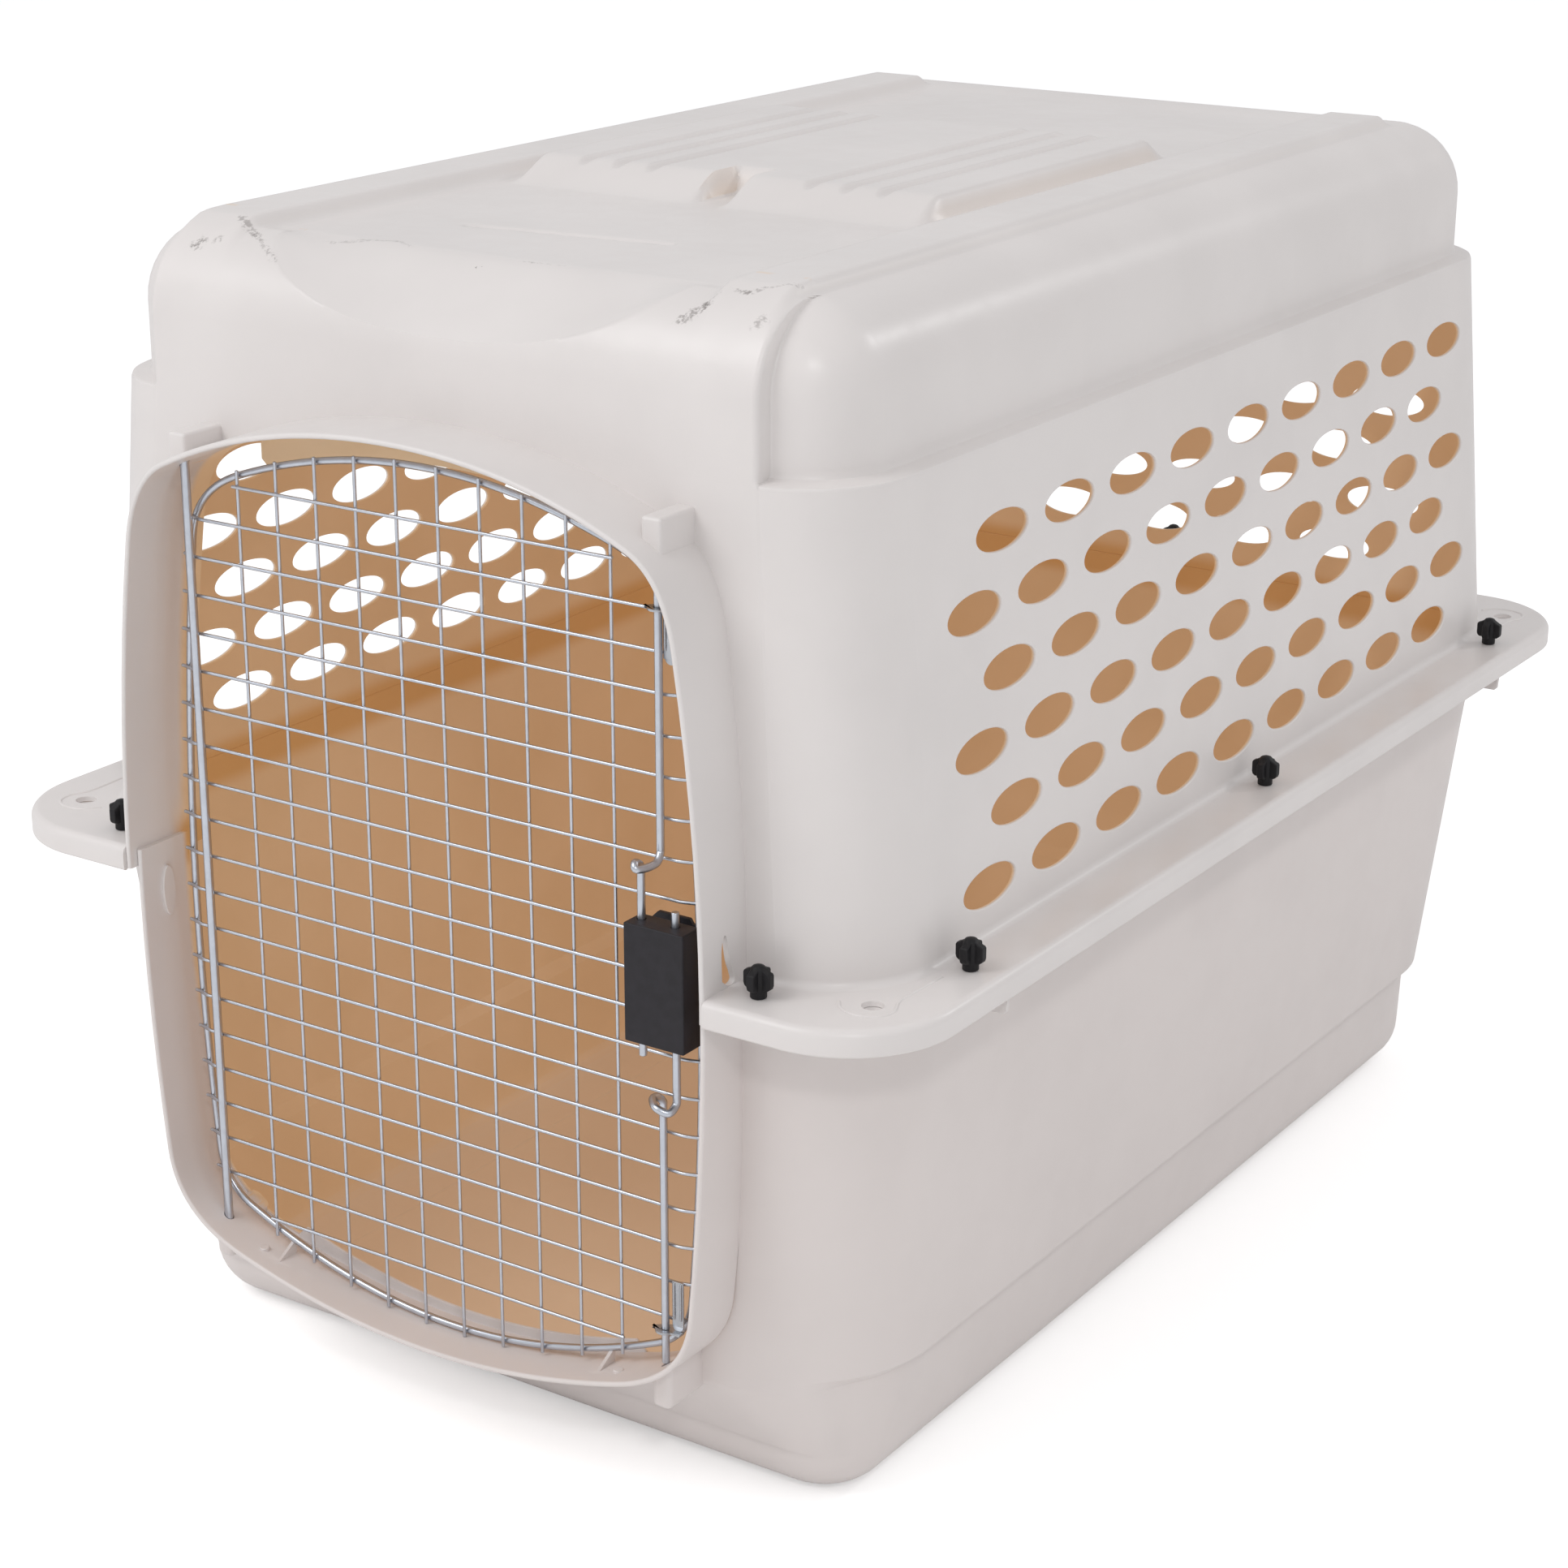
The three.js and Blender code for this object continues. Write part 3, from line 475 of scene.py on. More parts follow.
def make_stations(columns, rows, corner_steps, front_corner):
    """Stations round a rounded rectangle, anticlockwise from the right side's front end, as
    [fx, fy, cos, sin]: a point is at f * (half - corner) + corner * direction."""
    made = [(1, f, 1, 0) for f in rows]

    def add_corner(fx, fy, degrees):
        made.extend((fx, fy, math.cos(math.radians(d)), math.sin(math.radians(d))) for d in degrees)

    even = list(np.arange(1, corner_steps) * 90 / corner_steps)
    add_corner(1, 1, even)
    made += [(f, 1, 0, 1) for f in columns[::-1]]
    add_corner(-1, 1, [90 + d for d in even])
    made += [(-1, f, -1, 0) for f in rows[::-1]]
    add_corner(-1, -1, [270 - d for d in reversed(front_corner)])
    made += [(f, -1, 0, -1) for f in columns]
    add_corner(1, -1, [270 + d for d in front_corner])
    return np.array(made)


def ring(stations, outline, z, inset=0.0):
    """A level ring of points on a rounded rectangle moved inwards by inset, one for all or one for each."""
    half_x, half_y, corner = outline
    fx, fy, cos, sin = stations.T
    radius = corner - inset
    x = fx * (half_x - corner) + radius * cos
    y = fy * (half_y - corner) + radius * sin
    return np.stack([x, y, np.full(len(x), float(z))], 1)


def between(a, b, share):
    return tuple(p + (q - p) * share for p, q in zip(a, b))


# ---------------------------------------------------------------- upper shell

def rail(x, y):
    """The rise of the two rails along the roof's sides."""
    across = smooth_step(np.abs(x), 169.5, 177.5) * (1 - smooth_step(np.abs(x), 214.6, 222.5))
    along = smooth_step(y, -446, -402) * (1 - smooth_step(y, 364, 376))
    return RAIL_RISE * across * along


def deck_height(x, y):
    """How far the roof stands above its plain surface: rails, sunk deck, panel, grooves and slot."""
    far = np.abs(x)
    sunk = (1 - smooth_step(far, 166, 172)) * smooth_step(y, -408, -396) * (1 - smooth_step(y, 350, 385))
    height = rail(x, y) - RECESS * sunk
    side = 1 - smooth_step(far, 149.5, 160.5)
    front = smooth_step(y, -187, -147)
    rear = 1 - smooth_step(y, 120, 154)
    notch = np.maximum(smooth_step(far, 9.5, 14.5), smooth_step(y, -137, -122))
    panel = PANEL_RISE * side * front * rear * notch
    for groove in GROOVES:
        away = np.abs(x - groove) / GROOVE_HALF
        open_end = smooth_step(y, 116, 140)
        floor = PANEL_RISE - GROOVE_DEPTH * np.clip(1 - away ** 2, 0, 1) * (1 - open_end)
        floor = np.where(away < 1, floor, 1e3)
        panel = np.minimum(panel, floor)
    height = height + panel
    # A straight slot across the front deck, wider at its left end.
    ax, ay, bx, by = -74.0, -321.0, 60.0, -304.5
    t = np.clip(((x - ax) * (bx - ax) + (y - ay) * (by - ay)) / ((bx - ax) ** 2 + (by - ay) ** 2), 0, 1)
    away = np.hypot(x - ax - t * (bx - ax), y - ay - t * (by - ay))
    slot = 1 - smooth_step(away, 1.2, 4.2)
    bulb = 1 - smooth_step(np.hypot((x - ax) / 1.8, y - ay), 2.0, 5.5)
    return height - 2.0 * np.maximum(slot, bulb)


def hood_weight(x, inward):
    """1 on the hood, 0 beside it, with a rounded bead and a small fillet at its edge."""
    depth = HOOD_EDGE - inward - np.abs(x)
    bead = np.clip(BEAD - depth, 0, BEAD)
    proud = SHOULDER_INSET - (BEAD - np.sqrt(BEAD ** 2 - np.minimum(bead, BEAD - 1e-9) ** 2))
    beyond = np.clip(CREASE_FILLET + depth, 0, CREASE_FILLET)
    fillet = CREASE_FILLET - np.sqrt(np.maximum(CREASE_FILLET ** 2 - beyond ** 2, 0))
    return np.where(depth >= 0, proud, fillet) / SHOULDER_INSET


# Stations across the hood's bead and its fillet, as distances from the start of the shoulder's corner.
BEAD_STEPS = (1.5, 3.0, 3.7, 4.3, 4.7, 4.97, 5.06, 5.5, 6.1, 6.7, 7.2, 7.55, 7.8, 7.97, 8.06, 8.4, 8.9, 9.6,
              10.8)
SHOULDER_CORNER = DECK_INSET - SHOULDER_INSET


def roof_stations():
    columns, rows = deck_columns(), deck_rows()
    dense = [math.degrees(math.asin(step / SHOULDER_CORNER)) for step in BEAD_STEPS]
    return make_stations(columns / DECK_X, rows / DECK_Y, 20, dense + list(np.arange(16, 90, 4.1)))


def roof_ring(stations, z, inset):
    """A ring of the eaves' outline. As its corners shrink, the front stations stay on the bead's edge."""
    radius = EAVES[2] - inset
    if 1 < radius < SHOULDER_CORNER:
        stations = stations.copy()
        corner = (stations[:, 1] == -1) & (stations[:, 2] != 0) & (stations[:, 3] < 0)
        turn = np.arctan2(np.abs(stations[corner, 2]), -stations[corner, 3])
        limit = math.asin(BEAD_STEPS[-1] / SHOULDER_CORNER)
        reach = min(1, 0.97 * radius / BEAD_STEPS[-1]) / radius
        new_limit = math.asin(BEAD_STEPS[-1] * reach)
        kept = np.arcsin(np.minimum(SHOULDER_CORNER * np.sin(np.minimum(turn, limit)) * reach, 1))
        spread = new_limit + (turn - limit) * (np.pi / 2 - new_limit) / (np.pi / 2 - limit)
        turn = np.where(turn <= limit, kept, spread)
        stations[corner, 2] = np.sign(stations[corner, 2]) * np.sin(turn)
        stations[corner, 3] = -np.cos(turn)
    return ring(stations, EAVES, z, inset)


def roof_rows(stations, inward):
    """Rings from just under the eaves to the edge of the deck. Inward is 0 outside, WALL inside."""
    front = (stations[:, 1] == -1) & (stations[:, 3] < 0)
    wall_y = -(EAVES[1] - inward)
    rows = []

    def add(inset, z, hood_inset, hood_z):
        base = roof_ring(stations, z, inset)
        weight = np.where(front, hood_weight(base[:, 0], inward), 0)
        target_y = wall_y + hood_inset
        point = base.copy()
        point[:, 1] += weight * (target_y - base[:, 1])
        point[:, 2] += weight * (hood_z - base[:, 2])
        point[:, 2] += deck_height(point[:, 0], point[:, 1]) * smooth_step(point[:, 2], 712, 736)
        rows.append(point)

    ledge = [(0, -3.0), (0.9, -0.8), (3.0, 0.2), (9.0, 0.9), (11.6, 1.9), (12.7, 4.0), (13.0, 7.0)]
    for inset, rise in ledge:
        z = EAVES_Z - inward + rise
        add(inward + inset, z, 0, z)
    add(inward + SHOULDER_INSET, 672.0, 0, 672.0)
    add(inward + SHOULDER_INSET, SHOULDER_Z, 0, SHOULDER_Z)

    roll_z = SHOULDER_ROLL - inward
    roll_in = DECK_INSET - SHOULDER_INSET - inward
    hood_full = math.radians(78)

    def shoulder(angle):
        inset = inward + SHOULDER_INSET + roll_in * (1 - math.cos(angle))
        return inset, SHOULDER_Z + roll_z * math.sin(angle)

    def hood(turn):
        """The hood's own roll: a quarter turn, then flat to the deck. Turn is 0 to 90 degrees."""
        quarter = np.minimum(turn / hood_full, 1) * np.pi / 2
        flat = np.clip((turn - hood_full) / (np.pi / 2 - hood_full), 0, 1)
        reach = DECK_INSET - inward
        curve = 50.0 - inward
        return curve * (1 - np.cos(quarter)) + flat * (reach - curve), SHOULDER_Z + roll_z * np.sin(quarter)

    # Where the sloping front facet of the deck leaves the hood's face, and where it meets the deck.
    x = roof_ring(stations, 0, inward + SHOULDER_INSET)[:, 0]
    share = np.minimum(np.abs(x) / SMILE_X, 1)
    smile_rise = (SMILE_Z - SHOULDER_Z) + (DECK - 0.6 - SMILE_Z) * share ** 2.6
    smile_turn = np.arcsin(np.clip(smile_rise / SHOULDER_ROLL, 0, 0.998)) * hood_full / (np.pi / 2)
    crease_inset = DECK_INSET - inward - 9.0 * (1 - share ** 2)
    low_steps, high_steps = 9, 7
    switch = math.radians(75)
    for k in range(1, low_steps + 1):
        hood_inset, hood_z = hood(smile_turn * k / low_steps)
        add(*shoulder(switch * k / low_steps), hood_inset, hood_z)
    start_inset, start_z = hood(smile_turn)
    for k in range(1, high_steps):
        t = k / (high_steps - 1)
        hood_inset = start_inset + (crease_inset - start_inset) * t
        hood_z = start_z + (DECK - inward - start_z) * t
        add(*shoulder(switch + (math.pi / 2 - switch) * k / high_steps), hood_inset, hood_z)
    add(*shoulder(math.pi / 2), DECK_INSET - inward, DECK - inward)
    return rows


def deck_grid(inward):
    """The deck's points, row by row."""
    x, y = np.meshgrid(deck_columns(), deck_rows())
    return np.stack([x, y, DECK - inward + deck_height(x, y)], 2)


def upper_skin():
    """The upper shell without its openings: flange, walls, eaves and roof, outside and inside."""
    stations = roof_stations()
    lip, edge, fillet = PLATE / 2, 5.5, 5.0
    outside = []
    for a in angles(180, 30):
        outside.append(ring(stations, FLANGE, LIP_FOOT + lip - lip * math.sin(a), lip + lip * math.cos(a)))
    for a in angles(90, 18):
        z = FLANGE_TOP - edge + edge * math.sin(a)
        outside.append(ring(stations, FLANGE, z, edge * (1 - math.cos(a))))
    for a in angles(90, 18):
        z = FLANGE_TOP + fillet * (1 - math.cos(a))
        share = (z - FLANGE_TOP) / (EAVES_Z - FLANGE_TOP)
        outside.append(ring(stations, between(WAIST, EAVES, share), z, -fillet * (1 - math.sin(a))))
    outside += roof_rows(stations, 0.0)
    inside = [ring(stations, FLANGE, SPLIT, PLATE), ring(stations, WAIST, SPLIT, WALL)]
    inside += roof_rows(stations, WALL)
    return new_object("top_shell_skin", *open_skin(outside[::-1] + inside, [deck_grid(0.0), deck_grid(WALL)]))


def upper_cavity():
    """The middle of the upper shell's wall."""
    stations = roof_stations()
    half = WALL / 2
    rings = [ring(stations, WAIST, FLANGE_TOP - 60, half), ring(stations, WAIST, FLANGE_TOP, half)]
    rings += roof_rows(stations, half)
    return open_skin(rings, [deck_grid(half)])


# A vent cutter's growth at each depth below the wall's outer face: it flares at both faces.
FLARE = [(1.3, 6.0), (1.3, 0.0), (0.55, -0.18), (0.15, -0.55), (0.0, -1.1), (0.0, -2.3), (0.3, -2.8),
         (0.8, -3.0), (0.8, -9.0)]


def wall_half(z, axis):
    """Half the upper body's width (axis 0) or length (axis 1) at a height."""
    share = (z - FLANGE_TOP) / (EAVES_Z - FLANGE_TOP)
    return WAIST[axis] + (EAVES[axis] - WAIST[axis]) * share


def vent_cutters(pattern, axis, sign):
    """Cutters for one wall: axis 0 is a side wall, axis 1 an end wall, on the side that sign gives."""
    turn = full_turn(40)

    def vent(along, height):
        rings = []
        for grow, depth in FLARE:
            a = along + (VENT_X + grow) * np.cos(turn)
            z = height + (VENT_Z + grow) * np.sin(turn)
            out = sign * (wall_half(z, axis) + depth)
            rings.append(np.stack([out, a, z] if axis == 0 else [a, out, z], 1))
        return loft("vent", rings)

    made = []
    for row in range(VENT_ROWS):
        count, middle = pattern["kinds"][row % 2]
        height = pattern["top"] - row * pattern["step"]
        first = middle - (count - 1) / 2 * pattern["pitch"]
        made += [vent(first + column * pattern["pitch"], height) for column in range(count)]
    return made


def round_hole(place, radius, top, through, grow=0.7):
    """A cutter for a hole in a flange, with its upper edge eased by grow."""
    profile = [(radius + grow, top + 6), (radius + grow, top), (radius + 0.25 * grow, top - 0.3),
               (radius, top - 0.9), (radius, through)]
    return turned("hole", profile, (*place, 0), sides=28)


def flange_holes(top, through):
    made = [round_hole(place, BOLT_HOLE_R, top, through, 0.4) for place in BOLT_PLACES.values()]
    made += [round_hole((sx * TIE_DOWN[0], sy * TIE_DOWN[1]), TIE_DOWN_R, top, through) for sx, sy in CORNERS]
    return made


def tie_down_ridges():
    """A raised line round each corner hole that runs on to the nearest side nut."""
    path = [(-19, -6, 0), (-12, -14, 0), (0, -17, 0), (11.5, -12, 0), (14.5, -1, 0), (10, 11, 0),
            (9.5, 24, 0), (11, 56, 0)]
    path = smooth_path(path, 7)
    made = []
    for sx, sy in CORNERS:
        points = (path * (sx, -sy, 1)) + (sx * TIE_DOWN[0], sy * TIE_DOWN[1], FLANGE_TOP - 0.25)
        made.append(wire("ridge", points, 1.05, 10, across=(0, 0, 1)))
    return made


def add_sockets(shell, arch, low, high, half, rounding):
    """Blocks at both sides of the doorway, flush with the duct's inside, that hold the rods' ends."""
    for x in (-ROD_X, ROD_X):
        socket = block("socket", (x - half, SOCKET_FRONT, low), (x + half, SOCKET_BACK, high), rounding, 4)
        cut(socket, prism("passage", offset(arch, -DUCT_WALL), FAR_FRONT, -300))
        join(shell, socket)


def rod_cutters(low, high):
    """Holes for the hinge rod's and the latch rod's end."""
    return [turned("rod_hole", [(radius + 0.4, low), (radius + 0.4, high)], (x, ROD_Y, 0))
            for x, radius in ((-ROD_X, HINGE_R), (ROD_X, LATCH_R))]


def front_space(front, low, high, back=-300.0):
    """A block across the whole front, between two heights, for keeping part of a duct."""
    return block("front_space", (-400, front, low), (400, back, high))


def build_upper_shell():
    shell = upper_skin()
    opening = prism("opening", offset(doorway, -DUCT_WALL / 2), FAR_FRONT, DUCT_BACK - 4)
    lip_gap = prism("lip_gap", offset(doorway, -0.2), FAR_FRONT, -(WAIST[1] + 6))
    cut(shell, opening, lip_gap)
    join(shell, keep(duct(doorway, DUCT_FRONT, DUCT_BACK), front_space(-600, DUCT_SPLIT + 0.3, HIGH)))
    add_sockets(shell, doorway, 603, 628.5, 6.8, 2.2)
    join(shell, head_strip())
    cut(shell, *rod_cutters(550, 626))
    for pattern, axis, sign in ((RIGHT_VENTS, 0, 1), (LEFT_VENTS, 0, -1), (REAR_VENTS, 1, 1)):
        cut(shell, gather("vents", vent_cutters(pattern, axis, sign)))
    cut(shell, gather("holes", flange_holes(FLANGE_TOP, SPLIT - 20)))
    join(shell, *tie_down_ridges())
    cut(shell, duct_slot())
    shell.name = "upper_shell"
    return mark_inside(shell, upper_cavity())


def duct_slot():
    """An upright slot through the duct's right side, just above the flange, wider at its foot."""
    outline = smooth_path([(-487, 366), (-487, 384), (-485, 391), (-482.5, 392.5), (-481, 388), (-479, 376),
                           (-475.5, 367), (-475, 362.5), (-481, 361.5), (-487, 366)], 4)[:-1]
    return loft("slot", [np.insert(outline, 0, x, axis=1) for x in (200, 245)])


def mark_inside(obj, skin):
    """Give each point its share of inner colour: 0 on the outer side of the wall's middle, 1 on the inner."""
    points, faces = skin
    tree = BVHTree.FromPolygons([Vector(p) for p in points * MM], faces)
    centre = Vector((0, 0, FLANGE_TOP * MM))
    share = np.zeros(len(obj.data.vertices), np.float32)
    for vertex in obj.data.vertices:
        spot, normal, _, _ = tree.find_nearest(vertex.co)
        if normal.dot(spot - centre) < 0:
            normal = -normal
        depth = (vertex.co - spot).dot(normal) / (WALL * MM)
        share[vertex.index] = min(max(0.5 - 1.1 * depth, 0), 1)
    layer = obj.data.attributes.new("inside", "FLOAT", "POINT")
    layer.data.foreach_set("value", share)
    return obj


# ---------------------------------------------------------------- lower shell

def tub_rows(stations, inward):
    """Rings from the middle of the floor to just under the flange. The ledge fades out at the front."""
    facing = np.clip(-stations[:, 3], 0, 1)
    step = 9.0 * (1 - smooth_step(facing, 0.58, 0.86))
    edge = BASE_EDGE - inward
    rows = [ring(stations, FLOOR_PANEL, inward + z, inward + inset)
            for inset, z in ((58, 4.0), (55, 3.4), (51, 0.6), (48, 0.0))]
    rows += [ring(stations, BASE, inward + edge * (1 - math.cos(a)), inward + edge * (1 - math.sin(a)))
             for a in angles(90, 9)]
    rows.append(ring(stations, between(BASE, LEDGE, 0.97), LEDGE_Z - 12, inward + step))
    rows += [ring(stations, LEDGE, LEDGE_Z - drop, inward + step * share)
             for drop, share in ((8.5, 1), (7.7, 0.96), (1.0, 0.08), (0, 0.01), (-1.2, 0))]
    return rows


def tub_stations():
    columns = np.array(mirrored([0, 0.25, 0.5, 0.75, 1]))
    rows = np.array(mirrored([0, 0.2, 0.4, 0.6, 0.8, 1]))
    return make_stations(columns, rows, 24, list(np.arange(1, 36) * 90 / 36))


def tub_cavity():
    """The middle of the tub's wall."""
    stations = tub_stations()
    rings = tub_rows(stations, WALL / 2)
    rings += [ring(stations, WAIST, z, WALL / 2) for z in (LOWER_TOP - PLATE, LOWER_TOP + 60)]
    points, faces = open_skin(rings)
    return points, faces + [tuple(range(len(stations)))]


def lower_skin():
    stations = tub_stations()
    outside = tub_rows(stations, 0.0)
    under = LOWER_TOP - PLATE
    fillet, r = 4.0, 1.2
    covered = PLATE + 0.5 + r
    for a in angles(90, 18):
        outside.append(ring(stations, WAIST, under - fillet * (1 - math.sin(a)), -fillet * (1 - math.cos(a))))
    for a in angles(90, 30):
        outside.append(ring(stations, FLANGE, under + r - r * math.cos(a), covered - r * math.sin(a)))
    for a in angles(90, 30):
        outside.append(ring(stations, FLANGE, LOWER_TOP - r + r * math.sin(a), covered - r * math.cos(a)))
    inside = tub_rows(stations, WALL)
    for a in angles(90, 30):
        inside.append(ring(stations, WAIST, LOWER_TOP - r + r * math.sin(a), WALL - r + r * math.cos(a)))
    return loft("bottom_shell_skin", outside + inside[::-1])


def gussets():
    """Ribs between the tub's wall and the flange: long ones by the corner nuts, short ones between."""
    made = []
    under = LOWER_TOP - 1
    wall, lip = WAIST[0] - 2, FLANGE[0] - PLATE - 1.5
    for sign in (-1, 1):
        for y, drop in ((-367, 25), (367, 25), (-172, 16), (172, 16), (-241, 16), (241, 16), (16, 16)):
            low = under - drop
            shape = [(wall, under), (wall, low - 2), (wall + 17, low), (lip - 3, low), (lip - 1, low + 2),
                     (lip, low + min(17, drop - 2)), (lip, under)]
            rings = [np.array([(sign * x, y + edge, z) for x, z in shape]) for edge in (-1.5, 1.5)]
            made.append(bevel(loft("gusset", rings), 0.5, 2))
    return made


def end_rounding(x, radius=9.0):
    """How far a strip's free edge draws back at its round ends."""
    beyond = np.maximum(np.abs(x) - SILL_HALF + radius, 0)
    return radius - np.sqrt(np.clip(radius ** 2 - beyond ** 2, 0, None))


def sill():
    """A thin upright strip behind the door's foot, with rounded ends."""
    x = np.linspace(-SILL_HALF, SILL_HALF, 41)
    top = 76 + 0.00118 * x ** 2 - end_rounding(x)
    foot = 60.0 + 0.0009 * x ** 2
    outline = np.concatenate([np.stack([x, foot], 1), np.stack([x, top], 1)[::-1]])
    return bevel(prism("sill", outline, SILL_Y - 1.1, SILL_Y + 1.1), 0.6, 2, 60)


def head_strip():
    """A strip that hangs from the duct's ceiling behind the door's head, with rounded ends."""
    x = np.linspace(-SILL_HALF, SILL_HALF, 41)
    ceiling = np.array([crossings(doorway, value, 0)[-1] for value in x]) - DUCT_WALL / 2
    foot = ceiling - HEAD_DROP + end_rounding(x)
    outline = np.concatenate([np.stack([x, foot], 1), np.stack([x, ceiling], 1)[::-1]])
    return bevel(prism("head_strip", outline, SILL_Y + 1.0, SILL_Y + 4.0), 0.6, 2, 60)


def floor_ribs():
    """Small three-cornered ribs and round marks on the duct's floor in front of the sill."""
    made = []
    for x in (-128.0, 128.0):
        z = duct_floor(x)
        ring_points = [(0, LOWER_DUCT_FRONT + 12, z - 1), (0, LOWER_DUCT_FRONT + 30, z - 1),
                       (0, LOWER_DUCT_FRONT + 30, z + 9)]
        rings = [np.array(ring_points) + (x + side, 0, 0) for side in (-1.1, 1.1)]
        made.append(loft("rib", rings))
        made.append(turned("mark", [(3.2, z - 2), (3.2, z + 1.6), (2.8, z + 2.0)],
                           (x + math.copysign(14, x), LOWER_DUCT_FRONT + 16, 3.2), sides=20))
    return made


def duct_floor(x):
    return crossings(offset(lower_doorway, -DUCT_WALL), x, 0)[0]


def duct_pad():
    """A long oval pad on the duct's left side, under the split."""
    middle_z, half_z, half_y = 324.0, 17.0, 5.5
    inner = offset(lower_doorway, -DUCT_WALL)
    turn = full_turn(32)
    rings = []
    for out, grow in ((-1.5, 0.0), (1.4, 0.0), (2.0, -0.6)):
        z = middle_z + (half_z + grow) * np.sin(turn)
        y = -478 + (half_y + grow) * np.cos(turn)
        x = np.array([crossings(inner, height, 1)[0] for height in z]) + out
        rings.append(np.stack([x, y, z], 1))
    return loft("pad", rings)


def build_lower_shell():
    shell = lower_skin()
    cut(shell, prism("opening", offset(lower_doorway, -DUCT_WALL / 2), FAR_FRONT, DUCT_BACK + 12))
    upper = prism("upper_duct", offset(doorway, 0.8), FAR_FRONT, -456)
    cut(shell, keep(upper, front_space(-700, DUCT_SPLIT, HIGH)))
    collar = duct(lower_doorway, LOWER_DUCT_FRONT, -456.5)
    join(shell, keep(collar, front_space(-600, 0, LOWER_TOP, -456)))
    join(shell, sill(), *floor_ribs(), duct_pad())
    add_sockets(shell, lower_doorway, 77.5, 112, 6.9, 4.5)
    cut(shell, *rod_cutters(86, 150))
    join(shell, *gussets())
    cut(shell, gather("holes", flange_holes(LOWER_TOP, LOWER_TOP - 25)))
    shell.name = "lower_shell"
    return mark_inside(shell, tub_cavity())


# ---------------------------------------------------------------- door

def build_door_frame():
    return wire("door_frame", upright(door_outline, FRAME_WIRE_Y), FRAME_WIRE_R, 14, closed=True)


def build_door_grid():
    wires = []
    for i in range(UPRIGHTS):
        x = (i - (UPRIGHTS - 1) / 2) * UPRIGHT_PITCH
        bottom, top = crossings(door_outline, x, 0)[[0, -1]]
        wires.append(wire("upright", [(x, UPRIGHT_Y, bottom - 3), (x, UPRIGHT_Y, top + 3)], GRID_R, 10))
    for i in range(CROSSBARS):
        z = CROSSBAR_FIRST + i * CROSSBAR_PITCH
        if i in (0, CROSSBARS - 1):
            path = [(-SHORT_HALF, CROSSBAR_Y, z), (SHORT_HALF, CROSSBAR_Y, z)]
        else:
            half = crossings(door_outline, z, 1)[-1] + FRAME_WIRE_R + 1.5
            end = FRAME_WIRE_Y - FRAME_WIRE_R - 0.5
            bend = [(17, CROSSBAR_Y), (12, CROSSBAR_Y), (7, (CROSSBAR_Y + end) / 2), (3, end), (0, end + 0.2)]
            right = [(half - back, y, z) for back, y in bend]
            left = [(-x, y, z) for x, y, z in reversed(right)]
            path = np.concatenate([smooth_path(left, 3), smooth_path(right, 3)])
        wires.append(wire("crossbar", path, GRID_R, 10, across=(0, 0, 1)))
    return gather("door_mesh", wires)


def rod_path(tip, bend, tail_x, tail_end):
    """A latch rod's path: straight from its tip, a finger loop to the front at bend, then its tail."""
    down = math.copysign(1, tail_end - tip)
    side = math.copysign(1, tail_x - ROD_X)
    loop = [
        (ROD_X, ROD_Y, bend + down * 2),
        (ROD_X, ROD_Y - 0.3, bend + down * 5),
        (ROD_X - side * 0.8, ROD_Y - 4.5, bend + down * 9.2),
        (ROD_X + side * 0.5, ROD_Y - 11, bend + down * 10.5),
        ((ROD_X + tail_x) / 2, ROD_Y - 18.5, bend + down * 10),
        (tail_x - side * 1, TAIL_Y - 7, bend + down * 7.5),
        (tail_x, TAIL_Y - 1, bend + down * 10.5),
        (tail_x, TAIL_Y, bend + down * 15),
        (tail_x, TAIL_Y, bend + down * 20),
    ]
    return np.concatenate([[(ROD_X, ROD_Y, tip)], smooth_path(loop, 7), [(tail_x, TAIL_Y, tail_end)]])


def build_latch_rod(node, sign, bend, tail_x):
    """A latch rod: the upper one's tip (sign 1) is at its top, the lower one's (sign -1) at its foot."""
    low, high = (corner[2] for corner in box_mm(node))
    tip, tail_end = (high, low) if sign > 0 else (low, high)
    return wire(f"{node}_fine", rod_path(tip, bend, tail_x, tail_end), LATCH_R, 16)


def hinge_rod():
    low, high, r = HINGE_LOW[2], HINGE_HIGH[2], HINGE_R
    profile = [(r - 0.7, low), (r - 0.15, low + 0.4), (r, low + 0.9), (r, high - 0.9), (r - 0.15, high - 0.4),
               (r - 0.7, high)]
    return turned("hinge_rod_fine", profile, (-ROD_X, ROD_Y, 0), sides=20)


